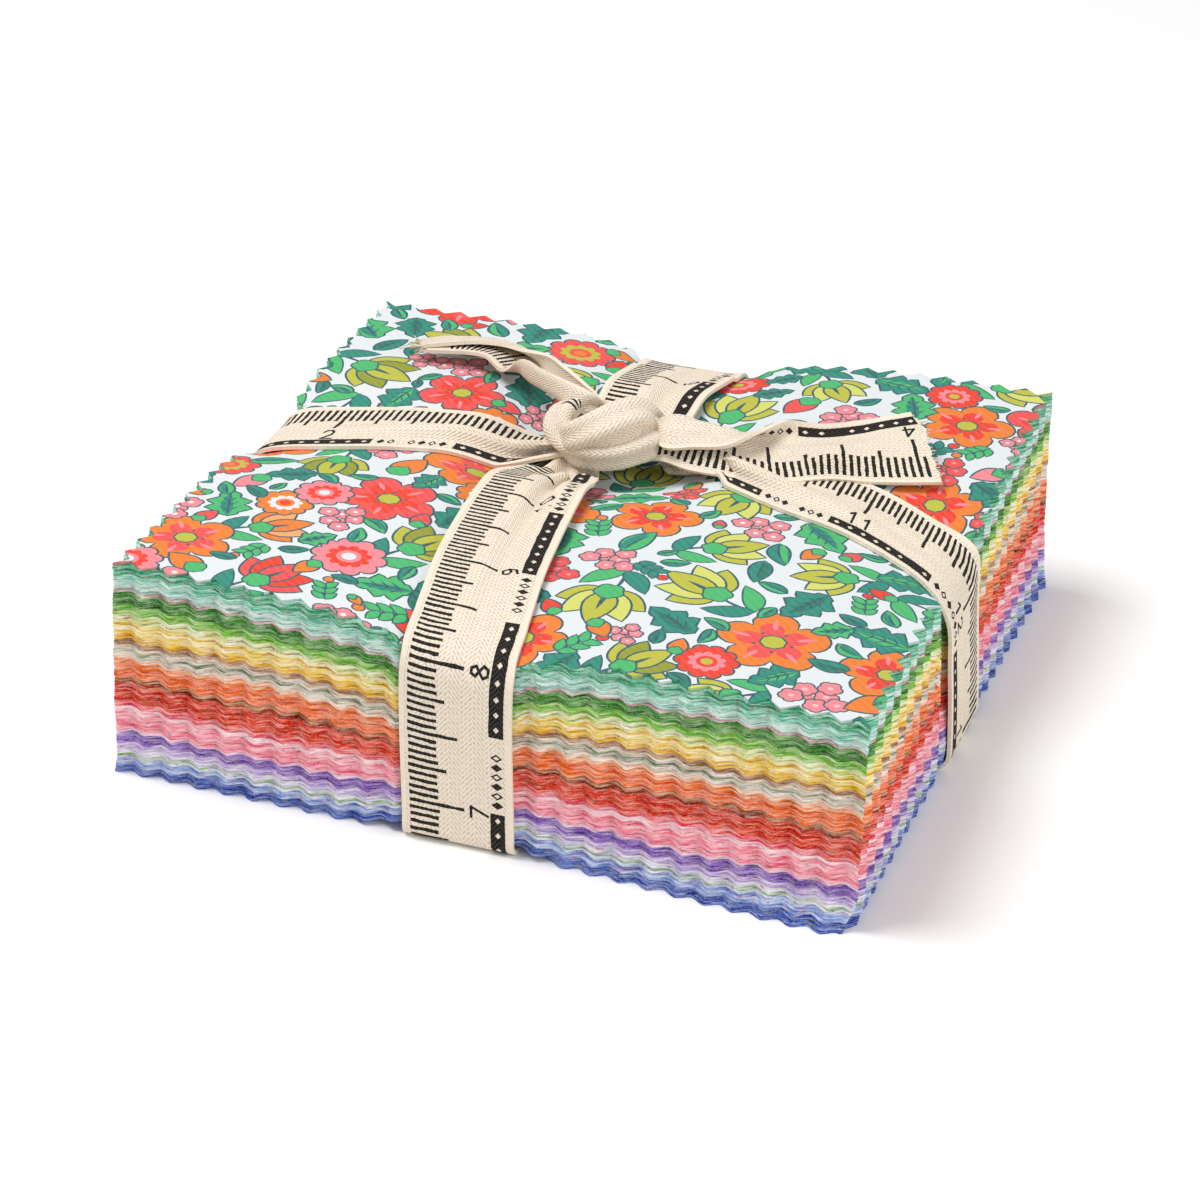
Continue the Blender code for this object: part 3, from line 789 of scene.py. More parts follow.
def top_material():
    n = Nodes("printed_cotton")
    drawn = n.add("ShaderNodeAttribute", attribute_name="paint").outputs["Color"]
    grain = n.noise((1500, 1500, 1500), 2.0, 0.6)
    twill = {"Vector": n.place((1, 1, 1)), "Scale": 330.0, "Distortion": 0.4, "Detail": 1.0}
    twill = n.add("ShaderNodeTexWave", twill, wave_type="BANDS", bands_direction="DIAGONAL").outputs["Fac"]
    fade = n.plus(n.times(grain, 0.05), n.times(twill, 0.03))
    colour = n.mix(fade, drawn, paint("#F0EEEA"))
    n.bump(n.plus(grain, twill), 0.35, 0.12)
    return n.surface(colour, 0.9, 0.2)


UNDERSIDE, CUT_EDGE, CUT_SHARE = "#DCE3DF", "#4FA088", 0.45
TOP_GAP = 0.02


def printed_sheet(outline, grid):
    """The print cut into a flat sheet: the points, the triangles, and each triangle's colour."""
    layers = print_layers()
    layers = [(outline, GROUND), *layers]
    shapes = [shape for shape, _ in layers]
    flat, faces, _, owners = triangulated(np.concatenate([*shapes, grid]), [], rings_from(0, shapes), 1, 1e-5)
    kept = [i for i, owner in enumerate(owners) if 0 in owner]
    colours = [paint(colour) for _, colour in layers]
    tops = np.array([colours[max(owners[i])] for i in kept])
    used, faces = np.unique(faces[kept], return_inverse=True)
    return flat[used], faces.reshape(-1, 3), tops


def plain_underside(flat, rim, grid):
    """The square's plain lower mesh, and for each point of the rim its place in that mesh."""
    after = dict(rim.tolist())
    ring = [int(rim[0, 0])]
    while after[ring[-1]] != ring[0]:
        ring.append(after[ring[-1]])
    points = np.concatenate([flat[ring], grid])
    low, faces, sources, _ = triangulated(points, [], rings_from(0, [ring]), 1, 1e-5)
    foot = np.zeros(len(flat), int)
    for place, origins in enumerate(sources):
        foot[[ring[i] for i in origins if i < len(ring)]] = place
    return low, faces, foot


def build_top(material):
    """The printed square on top: its print is cut into its mesh."""
    outline, _ = pinked(6, (TOOTH_DEPTH,) * 4, 0.99)
    grid = grid_of(HALF - 3.6, int(SQUARE / (1.6)))
    flat, faces, tops = printed_sheet(outline, grid)
    sides = np.concatenate([faces[:, [0, 1]], faces[:, [1, 2]], faces[:, [2, 0]]])
    keys, back_keys = (sides @ [[len(flat), 1], [1, len(flat)]]).T
    on_rim = np.flatnonzero(~np.isin(keys, back_keys))
    rim = sides[on_rim]
    low, low_faces, foot = plain_underside(flat, rim, grid)
    number = SHEETS - 1
    flat, low = (pull_in(placed(points, number), 1.0) for points in (flat, low))
    bottom = level_height(low[:, 0], low[:, 1], LEVELS[number]) + TOP_GAP
    top = level_height(flat[:, 0], flat[:, 1], 1.0)
    above = rim + len(low)
    walls = np.stack([above[:, 0], foot[rim[:, 0]], foot[rim[:, 1]], above[:, 1]], 1)
    all_faces = [*(faces + len(low)).tolist(), *low_faces[:, ::-1].tolist(), *walls.tolist()]
    all_points = np.concatenate([np.column_stack([low, bottom]), np.column_stack([flat, top])])
    obj = make_object(f"square_{SHEETS:02d}", all_points, all_faces, material, SHARP)
    under = np.tile(paint(UNDERSIDE), (len(low_faces), 1))
    cut = (1 - CUT_SHARE) * tops[on_rim % len(faces)] + CUT_SHARE * np.array(paint(CUT_EDGE))
    face_values(obj, "paint", np.concatenate([tops, under, cut]))
    declare_square(obj, number)


# The tape: stations along it, each a row of points from its ticked side to its bordered side

COLUMNS = 25
SHARE = np.linspace(-0.5, 0.5, COLUMNS)
ACROSS = (SHARE + 0.5) * TAPE_WIDTH
TOP_LIFT = 0.47
FACE_OUT = 64.1
FOOT_RADIUS = 2.3
UNDER_MIDDLE = 0.34
UNDER_REACH = FACE_OUT - FOOT_RADIUS - 3
CROSSING_FLAT = 10.2
CROSSING_FADE = 4.0
CROSSING_RISE = TAPE_THICK + 0.06
EDGE_BEND = 9.0
EDGE_DROP = 4.5
EDGE_LEAD = 7.5
EDGE_LEAD_DOWN = 5.5
SLOPE_STEP = 3.0
SIDE_MOVE_HEIGHT = 30.0
ROW_STEP = 1.5
KNOT_STEP = 0.8
KNOT_CORE = np.array([-5.0, 14.0, 37.5])
PLEAT_MIDDLE = 0.10
PLEAT_REACH = 0.19
LIFT_REACH = 16.0


def section(folds=0.0, waves=2.5, phase=0.0, hinge=0.5, flap=0.0, curl=0.0, soft=0.07, pleat=0.0):
    """The tape's bent cross-section: places across it and up from it."""
    fine = 6
    u = np.linspace(-0.5, 0.5, (COLUMNS - 1) * fine + 1)
    u = (u[1:] + u[:-1]) / 2
    turn = folds * np.sin(2 * np.pi * waves * (u + 0.5) + phase)
    turn = turn + math.radians(flap) * smooth((u - hinge) / soft) + curl * u
    in_pleat = (u - PLEAT_MIDDLE) / PLEAT_REACH
    turn = turn + pleat * np.sin(np.pi * in_pleat) * (np.abs(in_pleat) < 1)
    step = TAPE_WIDTH / len(u)
    ways = np.cos(turn), np.sin(turn)
    across, up = (np.concatenate([[0], np.cumsum(way) * step])[::fine] for way in ways)
    return across - (across.max() + across.min()) / 2, up - up.min()


def gathered(width):
    """How the tape is drawn together to a width: how steep its pleat is, then its folds."""
    lost = 1 - min(width / TAPE_WIDTH, 1.0)
    pleat = min(lost / (2 * PLEAT_REACH), 0.95)
    pleat = math.sqrt(max(0.0, 8 * (1 - math.sqrt(1 - pleat)))) * 0.9
    left = max(0.0, lost - 2 * PLEAT_REACH * 0.75)
    return pleat, math.sqrt(max(0.0, 8 * (1 - math.sqrt(1 - left))))


def bezier(a, b, c, d, t):
    return a * (1 - t) ** 3 + b * (3 * t * (1 - t) ** 2) + c * (3 * t * t * (1 - t)) + d * t**3


def band_row(table, along_y, along, style):
    """One station of a band on top of the stack, gathered to the width in the band's table."""
    line, width = read(table, along, 1), read(table, along, 2)
    pleat, folds = gathered(width)
    ridge, phase, lift = style
    across, up = section(folds, phase=phase, pleat=pleat * ridge)
    across = line + (across if along_y else -across)
    along = along + 0 * across
    x, y = (across, along) if along_y else (along, across)
    raised = lift * smooth((LIFT_REACH - np.abs(along - KNOT[along_y])) / LIFT_REACH)
    return np.stack([x, y, top_height(x, y) + TOP_LIFT + up + raised], 1)


def edge_rows(table, under, along_y, side):
    """The stations that take a band over an edge, down the side and under the stack."""

    def height(along, across):
        return top_height(across, along) if along_y else top_height(along, across)

    start = side * (HALF - EDGE_BEND)
    centre = np.array([FACE_OUT - FOOT_RADIUS, FOOT_RADIUS + UNDER_MIDDLE])
    angles = np.linspace(0, math.pi / 2, 8)
    turns = centre + FOOT_RADIUS * np.stack([np.cos(angles), -np.sin(angles)], 1)
    columns = []
    for share in SHARE * TAPE_WIDTH * (1 if along_y else -1):
        across = read(table, start, 1) + share
        top = height(start, across) + TOP_LIFT
        slope = (top - TOP_LIFT - height(start - side * SLOPE_STEP, across)) / SLOPE_STEP
        first = np.array([abs(start), top])
        lead = np.array([1.0, slope]) / math.hypot(1, slope) * EDGE_LEAD
        last = np.array([FACE_OUT, height(side * HALF, across) - EDGE_DROP])
        before = last + [0, EDGE_LEAD_DOWN]
        bend = [bezier(first, first + lead, before, last, t) for t in np.linspace(0, 1, 13)]
        down = [(FACE_OUT, z) for z in np.linspace(last[1], centre[1], 16)[1:-1]]
        out, up = np.array([*bend, *down, *turns]).T
        moved = smooth(1 - up / SIDE_MOVE_HEIGHT)
        across = (read(table, side * out, 1) + share) * (1 - moved) + (under[side > 0] + share) * moved
        columns.append(np.stack([across, side * out, up] if along_y else [side * out, across, up], 1))
    rows = np.array(columns).transpose(1, 0, 2)
    dx, dy = lean(rows[..., 0], rows[..., 1], ramp(rows[..., 2] / STACK_HEIGHT))
    beside = smooth((np.abs(rows[..., int(along_y)]) - HALF + 8) / 6)
    return rows + np.stack([dx * beside, dy * beside, 0 * dx], 2)


def under_rows(under, along_y, rise):
    """The stations of a band under the stack, from its far end to its near end."""
    along = np.linspace(UNDER_REACH, -UNDER_REACH, 45)[:, None] + 0 * SHARE
    across = under_line(under, along) + SHARE * TAPE_WIDTH * (1 if along_y else -1)
    beside = (np.abs(along - UNDER_CROSSING[along_y]) - CROSSING_FLAT) / CROSSING_FADE
    up = UNDER_MIDDLE + rise * (1 - smooth(beside))
    return np.stack([across, along, up] if along_y else [along, across, up], 2)


def loop(table, under, along_y, ends, rise, styles):
    """A band once round the stack: outwards from the knot, down, under, up and back to the knot."""
    reach = HALF - EDGE_BEND
    out = np.linspace(ends[0], reach, int((reach - ends[0]) / ROW_STEP))[:-1]
    back = np.linspace(-reach, ends[1], int((reach + ends[1]) / ROW_STEP))[1:]
    return np.concatenate(
        [
            [band_row(table, along_y, a, styles[0]) for a in out],
            edge_rows(table, under, along_y, 1),
            under_rows(under, along_y, rise),
            edge_rows(table, under, along_y, -1)[::-1],
            [band_row(table, along_y, a, styles[1]) for a in back],
        ]
    )


def keyed_row(tangent, place, out, squeeze, tilt, bends):
    """One station in the knot or on a free end: a bent cross-section set across its path."""
    away = Vector(out or tuple(np.array(place) - KNOT_CORE))
    side = tangent.cross(away).normalized()
    normal = side.cross(tangent).normalized()
    tilt = math.radians(tilt)
    across = side * math.cos(tilt) + normal * math.sin(tilt)
    normal = normal * math.cos(tilt) - side * math.sin(tilt)
    x, up = section(**bends)
    up = up - (up.max() + up.min()) / 2
    return np.array(place) + np.outer(x * squeeze, across) + np.outer(up * squeeze, normal)


def keyed_rows(keys):
    """Stations through a list of keys, each across the way from the key before it to the one after it."""
    places = [Vector(key[0]) for key in keys]
    last = len(keys) - 1
    ways = [(places[min(i + 1, last)] - places[max(i - 1, 0)]).normalized() for i in range(last + 1)]
    return [keyed_row(way, *key) for way, key in zip(ways, keys)]


def through(rows, joins_start, joins_end):
    """A smooth run of stations through key stations. Where it joins another run, its first or last two
    keys are that run's own stations, and are left out."""
    rows = np.array(rows)
    gaps = np.maximum(np.linalg.norm(np.diff(rows.mean(1), axis=0), axis=1), 0.3)
    at = np.concatenate([[0], np.cumsum(gaps)])
    slopes = np.gradient(rows, at, axis=0)
    parts = []
    for i, gap in enumerate(gaps):
        steps = max(2, int(round(gap / KNOT_STEP)))
        t = (np.arange(steps) / steps)[:, None, None]
        parts.append(hermite(t, rows[i], rows[i + 1], slopes[i], slopes[i + 1], gap))
    if joins_start:
        parts = [parts[1][1:], *parts[2:]]
    return np.concatenate(parts[:-1] if joins_end else [*parts, rows[-1:]])


UP = (0.0, 0.0, 1.0)


def bunched(place, out, curl, folds, waves, squeeze=1.0, tilt=0.0):
    """A key where the tape curls round its path in small folds and faces out, or else away from the core."""
    return place, out, squeeze, tilt, {"curl": curl, "folds": folds, "waves": waves}


def doubled(place, tilt, hinge, flap, soft, squeeze, folds=0.0):
    """A key where a flap of the tape is folded over at a hinge along it, by an angle in degrees."""
    return place, UP, squeeze, tilt, {"hinge": hinge, "flap": flap, "soft": soft, "folds": folds}


RIGHT_TAIL = (
    bunched((48.5, 27.8, 40.9), UP, 0.0, 0.10, 1.0, tilt=14.0),
    bunched((44.0, 25.4, 40.7), UP, 0.0, 0.15, 1.0, 0.94, 14.0),
    bunched((38.0, 22.6, 40.5), UP, 0.0, 0.4, 1.2, 0.82, 16.0),
    bunched((32.5, 20.2, 40.4), UP, 0.0, 0.6, 1.3, 0.72, 18.0),
    doubled((27.0, 17.8, 40.2), 20.0, 0.26, 60.0, 0.14, 0.72),
    doubled((22.0, 15.2, 40.1), 24.0, 0.16, 125.0, 0.12, 0.76),
    doubled((17.0, 13.9, 40.2), 29.0, 0.09, 160.0, 0.10, 0.80),
    doubled((11.5, 13.3, 40.4), 35.0, 0.05, 168.0, 0.10, 0.84),
    doubled((6.0, 13.8, 40.8), 42.0, 0.02, 170.0, 0.07, 0.86, 0.3),
)
KNOT_FIRST = (
    bunched((1.5, 14.6, 39.8), UP, -3.0, 0.4, 3.0, 0.72, 40.0),
    bunched((-4.5, 17.2, 39.4), UP, -4.6, 0.5, 3.0, 0.70),
    bunched((-10.6, 18.8, 40.2), None, -4.6, 0.5, 3.0, 0.74),
    bunched((-13.2, 15.8, 40.2), None, -4.6, 0.5, 3.0, 0.74),
    bunched((-13.2, 12.0, 39.2), None, -5.0, 0.5, 3.0, 0.70),
    bunched((-11.0, 9.6, 38.2), None, -5.0, 0.5, 3.0, 0.62),
    bunched((-7.8, 8.0, 38.0), None, -5.0, 0.6, 3.5, 0.64),
    bunched((-4.4, 7.2, 38.3), None, -5.0, 0.6, 3.5, 0.66),
    bunched((-1.2, 7.8, 38.8), None, -5.0, 0.6, 3.5, 0.66),
    bunched((1.1, 9.8, 39.2), None, -5.0, 0.6, 3.5, 0.66),
    bunched((2.9, 12.8, 39.4), None, -5.0, 0.6, 3.5, 0.68),
    bunched((3.4, 16.6, 38.4), None, -4.8, 0.6, 3.0, 0.66),
    bunched((3.4, 19.4, 36.4), (0.5, 0.3, 0.9), -3.4, 1.0, 2.5, 0.62),
)
TURN_UNDER = (
    bunched((-6.8, 16.6, 35.6), UP, 0.0, 1.4, 2.5, 0.75),
    bunched((-5.0, 19.6, 34.6), UP, 0.0, 1.4, 2.5, 0.80),
)
KNOT_SECOND = (
    bunched((-9.2, 6.4, 33.5), UP, 0.0, 1.1, 2.5, 0.85),
    bunched((-8.8, 10.4, 34.2), (0.0, -0.4, 1.0), -2.6, 0.9, 3.0, 0.70),
    bunched((-9.0, 13.0, 37.0), (-0.6, -0.8, 0.2), -5.0, 0.5, 3.0, 0.60),
    bunched((-10.2, 10.8, 39.6), (-0.8, -0.2, 0.5), -5.0, 0.5, 3.0, 0.62),
    bunched((-8.6, 8.2, 40.8), (-0.5, -0.7, 0.5), -4.6, 0.6, 3.5, 0.70),
    bunched((-5.4, 8.4, 42.4), (-0.2, -0.5, 0.9), -4.2, 0.6, 3.5, 0.82),
    bunched((-2.4, 11.2, 43.4), (0.1, -0.1, 1.0), -3.9, 0.6, 3.5, 0.88),
    bunched((-0.4, 15.0, 43.0), (0.4, 0.2, 0.9), -4.0, 0.6, 3.5, 0.84),
    bunched((0.8, 18.6, 41.0), (0.8, 0.4, 0.5), -4.6, 0.5, 3.0, 0.76),
    bunched((1.0, 21.4, 38.2), (0.8, 0.6, 0.1), -5.0, 0.5, 3.0, 0.66),
    bunched((-1.4, 22.4, 36.2), (0.2, 0.7, -0.6), -5.0, 0.5, 3.0, 0.60),
    bunched((-5.0, 20.6, 36.8), (-0.3, 0.5, -0.8), -5.0, 0.5, 3.0, 0.60),
    bunched((-7.2, 18.6, 39.2), (-0.7, 0.0, -0.3), -4.6, 0.4, 3.0, 0.62),
)
LEFT_TAIL = (
    bunched((-9.8, 18.4, 41.7), (0.5, 0.5, 0.8), 4.6, 0.3, 3.0, 0.60),
    bunched((-13.6, 20.6, 42.4), (0.3, 0.2, 1.0), 4.6, 0.2, 3.0, 0.58),
    bunched((-18.5, 24.8, 42.2), (0.1, 0.0, 1.0), 4.4, 0.2, 3.0, 0.60),
    bunched((-23.2, 30.0, 41.1), UP, 4.2, 0.2, 3.0, 0.60),
    doubled((-28.0, 35.6, 39.6), -6.0, 0.0, 150.0, 0.22, 0.68),
    doubled((-32.6, 39.4, 39.2), -8.0, 0.05, 168.0, 0.10, 0.78),
    doubled((-38.0, 40.8, 38.5), -8.0, 0.05, 173.0, 0.08, 0.78),
    doubled((-42.6, 40.3, 38.0), -5.0, 0.02, 174.0, 0.08, 0.66),
    doubled((-47.4, 38.2, 37.7), 0.0, 0.0, 174.0, 0.08, 0.42),
)

# How each band lies beside the knot, out from it and back to it: the side its pleat is on, the phase of
# its folds, and how far it is lifted
SIDE_STYLES = ((-1.0, 0.6, 0.0), (-0.8, 0.6, 2.6))
FRONT_STYLES = ((1.0, 2.0, 0.0), (0.7, 2.0, 0.0))
SIDE_ENDS = (6.0, -11.0)
FRONT_ENDS = (26.0, 3.0)


def tape_rows():
    """All stations of the tape from its right end to its left end, and where its runs start."""
    side = loop(SIDE_CURVE, LEFT_TO_RIGHT_UNDER, False, SIDE_ENDS, CROSSING_RISE, SIDE_STYLES)
    front = loop(FRONT_CURVE, FRONT_TO_BACK_UNDER, True, FRONT_ENDS, 0.0, FRONT_STYLES)
    first = through([*keyed_rows(RIGHT_TAIL + KNOT_FIRST), *side[:2]], False, True)
    turn = through([*side[-2:], *keyed_rows(TURN_UNDER), *front[:2]], True, True)
    second = through([*front[-2:], *keyed_rows(KNOT_SECOND + LEFT_TAIL)], True, False)
    runs = [first, side, turn, front, second]
    return np.concatenate(runs), np.cumsum([0] + [len(run) for run in runs])


def along_tape(rows):
    steps = np.linalg.norm(np.diff(rows, axis=0), axis=2).mean(1)
    return np.concatenate([[0], np.cumsum(steps)])


def row_normals(rows):
    along = np.gradient(rows, axis=0)
    across = np.gradient(rows, axis=1)
    normal = np.cross(across, along)
    return normal / np.maximum(np.linalg.norm(normal, axis=2, keepdims=True), 1e-9)


# What is printed on the tape: places along it and in from its ticked edge

INCH = 25.4
TICKS_IN_AN_INCH = 20
TICK_PITCH = INCH / TICKS_IN_AN_INCH
TICK_WIDTH = 0.62
TICK_START = 1.33
TICK_ENDS = ((20, 10.8), (10, 9.9), (5, 7.8), (1, 6.3))
NUMERAL_MIDDLE = 13.3
NUMERAL_SIZE = (2.0, 2.9)
NUMERAL_PITCH = 2.9
STROKE = 0.48
BORDER = (15.2, 17.7)
BORDER_MIDDLE = sum(BORDER) / 2
BORDER_PERIOD = 36.0
BORDER_BAR = 22.0
BAR_DIAMOND = (0.55, 0.5)
FREE_DIAMOND = (0.72, 1.05)
DIAMOND_HOLE = (0.36, 0.55)
END_MARGIN = 0.4
ROOM_AT_A_CUT = 0.22

# The lines of each figure: how far along and up each of a line's points lies, in hundredths
FIGURES = {
    0: ((50, 100, 15, 85, 0, 50, 15, 15, 50, 0, 85, 15, 100, 50, 85, 85, 50, 100),),
    1: ((20, 78, 55, 100, 55, 0),),
    2: ((5, 80, 25, 97, 70, 97, 93, 75, 80, 50, 5, 2, 97, 2),),
    3: ((5, 92, 60, 100, 92, 76, 50, 54, 95, 30, 60, 0, 5, 8),),
    4: ((75, 0, 75, 100, 0, 30, 100, 30),),
    5: ((90, 98, 15, 98, 10, 56, 60, 62, 95, 32, 60, 2, 5, 8),),
    6: ((85, 95, 30, 85, 5, 35, 40, 0, 85, 8, 92, 40, 55, 56, 10, 40),),
    7: ((2, 98, 97, 98, 35, 0),),
    8: ((50, 54, 12, 72, 30, 98, 70, 98, 88, 72, 50, 54), (50, 54, 3, 28, 25, 2, 75, 2, 97, 28, 50, 54)),
    9: ((15, 5, 70, 15, 95, 65, 60, 100, 15, 92, 8, 60, 45, 44, 90, 60),),
}


def ragged_box(s0, s1, u0, u1):
    """A box with uneven sides, as its corners in order."""
    along = max(1, int(round((u1 - u0) / 0.8)))
    left = [(s0 + rng.normal(0, 0.045), u) for u in np.linspace(u0, u1, along + 1)]
    right = [(s1 + rng.normal(0, 0.045), u) for u in np.linspace(u1, u0, along + 1)]
    return np.array(right[::-1] + left[::-1])


def numeral(number, at):
    """The strokes of a number, read from the ticks' side and centred at a place along the tape: one box
    a stroke, and the boxes overlap at their ends."""
    figures = [int(c) for c in str(number)]
    wide, high = NUMERAL_SIZE
    for k, figure in enumerate(figures):
        middle = at + (k - (len(figures) - 1) / 2) * NUMERAL_PITCH
        for line in FIGURES[figure]:
            x, y = np.array(line).reshape(-1, 2).T / 100
            places = np.stack([middle + (x - 0.5) * wide, NUMERAL_MIDDLE - (y - 0.5) * high], 1)
            for a, b in zip(places[:-1], places[1:]):
                way = (b - a) / np.linalg.norm(b - a)
                out = np.array([-way[1], way[0]]) * STROKE / 2
                a, b = a - way * STROKE * 0.42, b + way * STROKE * 0.42
                yield np.array([a - out, b - out, b + out, a + out])


def diamond(s, size):
    wide, high = size
    u = BORDER_MIDDLE
    return np.array([(s - wide, u), (s, u - high), (s + wide, u), (s, u + high)])


def ticks(start, end, anchor, anchor_number, lost, bordered):
    """The ticks and numbers in one length of tape, and the places where it may be cut across. The number
    that is lost lies inside a fold."""
    pieces, cuts = [], []
    first = int(math.floor((start - anchor) / TICK_PITCH))
    last = int(math.ceil((end - anchor) / TICK_PITCH))
    for k in range(first, last + 1):
        s = anchor + k * TICK_PITCH
        if s - 0.5 < start or s + 0.5 > end:
            continue
        long = next(reach for every, reach in TICK_ENDS if k % every == 0) + rng.normal(0, 0.12)
        low = TICK_START + abs(rng.normal(0, 0.08))
        pieces.append((ragged_box(s - TICK_WIDTH / 2, s + TICK_WIDTH / 2, low, long), True))
        number = (anchor_number + k // TICKS_IN_AN_INCH - 1) % 60 + 1
        room = 1.5 if number < 10 else 3.0
        if k % TICKS_IN_AN_INCH == 0 and start + room < s < end - room and bordered and number != lost:
            pieces += [(box, True) for box in numeral(number, s)]
        if k % TICKS_IN_AN_INCH == 10 and start + 4 < s + TICK_PITCH / 2 < end - 4:
            cuts.append(s + TICK_PITCH / 2)
    return pieces, cuts


def border(s0, s1):
    """The bars and diamonds of the border between two cuts across the tape."""
    pieces = []
    for period in range(int(s0 // BORDER_PERIOD), int(s1 // BORDER_PERIOD) + 1):
        base = period * BORDER_PERIOD
        a = max(base, s0 + (END_MARGIN if s0 == 0 else 0))
        b = min(base + BORDER_BAR, s1)
        if b - a > 0.02:
            mid = np.arange(a + 0.9, b - 0.5, 1.3)
            low = [(s, BORDER[0] + rng.normal(0, 0.04)) for s in mid]
            high = [(s, BORDER[1] + rng.normal(0, 0.04)) for s in mid[::-1]]
            bar = [(a, BORDER[0]), *low, (b, BORDER[0]), (b, BORDER[1]), *high, (a, BORDER[1])]
            pieces.append((np.array(bar), True))
        for s in np.arange(base + 1.5, base + BORDER_BAR - 1.0, 2.75):
            if s0 + 0.8 < s < s1 - 0.8:
                pieces.append((diamond(s, BAR_DIAMOND), False))
        for k, s in enumerate(np.arange(base + BORDER_BAR + 1.6, base + BORDER_PERIOD - 1.0, 1.75)):
            if s0 + 0.9 < s < s1 - 0.9:
                pieces.append((diamond(s, FREE_DIAMOND), True))
                if k % 2:
                    pieces.append((diamond(s, DIAMOND_HOLE), False))
    return pieces


def print_pieces(start, end, anchor, anchor_number, lost, bordered):
    """The ink in one length of tape: (polygon, whether it is ink), and where it may be cut across."""
    pieces, cuts = ticks(start, end, anchor, anchor_number, lost, bordered)
    edges = [start, *cuts, end] if bordered else []
    for s0, s1 in zip(edges[:-1], edges[1:]):
        pieces += border(s0, s1)
    return pieces, cuts


def tape_print(s, rows, starts):
    """The lengths of the print: where each starts and ends, the place and number of one of its units, a
    number that is lost in a fold, and whether its numbers and border show."""
    middle = rows[:, COLUMNS // 2]

    def nearest(first, last, axis, value, low, high):
        part = middle[first:last]
        miss = np.abs(part[:, axis] - value) + 1e3 * ((part[:, 2] < low) | (part[:, 2] > high))
        return s[first + int(np.argmin(miss))]

    _, side, turn, front, second, end = starts
    side_low, front_low = nearest(side, turn, 0, 0, 0, 5), nearest(front, second, 1, 0, 0, 5)
    in_turn = s[(turn + front) // 2]
    tail, loop_start = (s[int(np.argmax(middle[:, 0] < x))] for x in (4.0, -11.0))
    tail_again = nearest(second, end, 0, -29.5, 38, 60)
    side_end, front_end = np.searchsorted(s, side_low), np.searchsorted(s, front_low)
    return (
        (0.0, tail, 2.5, 4, 5, True),
        (loop_start, loop_start + 4.4, loop_start + 0.9, 8, 0, False),
        (s[side - 4], side_low, nearest(side, side_end, 0, 43.5, 20, 60), 11, 10, True),
        (side_low, in_turn, nearest(side_end, turn, 0, -52.0, 20, 60), 2, 3, True),
        (in_turn, front_low, nearest(front, front_end, 1, 46.0, 20, 60), 6, 0, True),
        (front_low, s[second + 3], nearest(front_end, second, 2, 32.8, 20, 33.5), 8, 0, True),
        (tail_again, s[-1] - 4.0, tail_again + 20.0, 14, 0, False),
    )


def rows_at(s, rows, wanted):
    """The rows of points at places along the tape."""
    i = np.clip(np.searchsorted(s, wanted, side="right") - 1, 0, len(s) - 2)
    t = ((wanted - s[i]) / (s[i + 1] - s[i]))[:, None, None]
    return rows[i] * (1 - t) + rows[i + 1] * t


def raw_ends(rows):
    """Makes the two cut ends of the tape uneven, with one corner trimmed off at its right end."""
    rows = rows.copy()
    share = SHARE + 0.5
    for end, inner, trim in ((0, 3, 1.3 * smooth((share - 0.72) / 0.28)), (-1, -4, 1.2 * (1 - share))):
        way = rows[end] - rows[inner]
        way /= np.linalg.norm(way, axis=1)[:, None]
        uneven = 0.16 * rng.standard_normal(COLUMNS) + 0.18 * np.sin(9 * share + 1.0)
        rows[end] += way * (uneven - trim + 0.3)[:, None]
    return rows


THREADS_AT_AN_END = 46
THREAD_LENGTHS = (1.5, 2.8)
THREAD_RADIUS = 0.19


def build_threads(rows, material):
    """Loose threads at the two raw ends of the tape, each a tube of three sides."""
    points, faces = [], []
    for row, inner, most in zip((rows[0], rows[-1]), (rows[4], rows[-6]), THREAD_LENGTHS):
        way = row - inner
        way = way / np.linalg.norm(way, axis=1)[:, None]
        for at in np.linspace(0.1, COLUMNS - 1.2, THREADS_AT_AN_END):
            j, share = int(at), at - int(at)
            start = row[j] * (1 - share) + row[j + 1] * share - way[j] * 0.4
            long = most * rng.uniform(0.25, 1.0) ** 1.3
            bend, lean_to = rng.normal(0, 0.28, 3), rng.normal(0, 0.16, 3)
            first = len(points)
            for t in np.linspace(0, 1, 5):
                middle = start + (way[j] + lean_to + bend * t) * long * t
                thin = THREAD_RADIUS * (1 - 0.4 * t)
                points += [middle + thin * np.array([0.0, math.cos(a), math.sin(a)]) for a in (0.3, 2.4, 4.5)]
            for ring in range(first, first + 12, 3):
                for k, after in ((0, 1), (1, 2), (2, 0)):
                    faces.append((ring + k, ring + after, ring + after + 3, ring + k + 3))
            faces += [(first + 2, first + 1, first), (first + 12, first + 13, first + 14)]
    obj = make_object("tape_threads", points, faces, material)
    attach(obj, "root")
    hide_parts("tie_tape")
    return obj


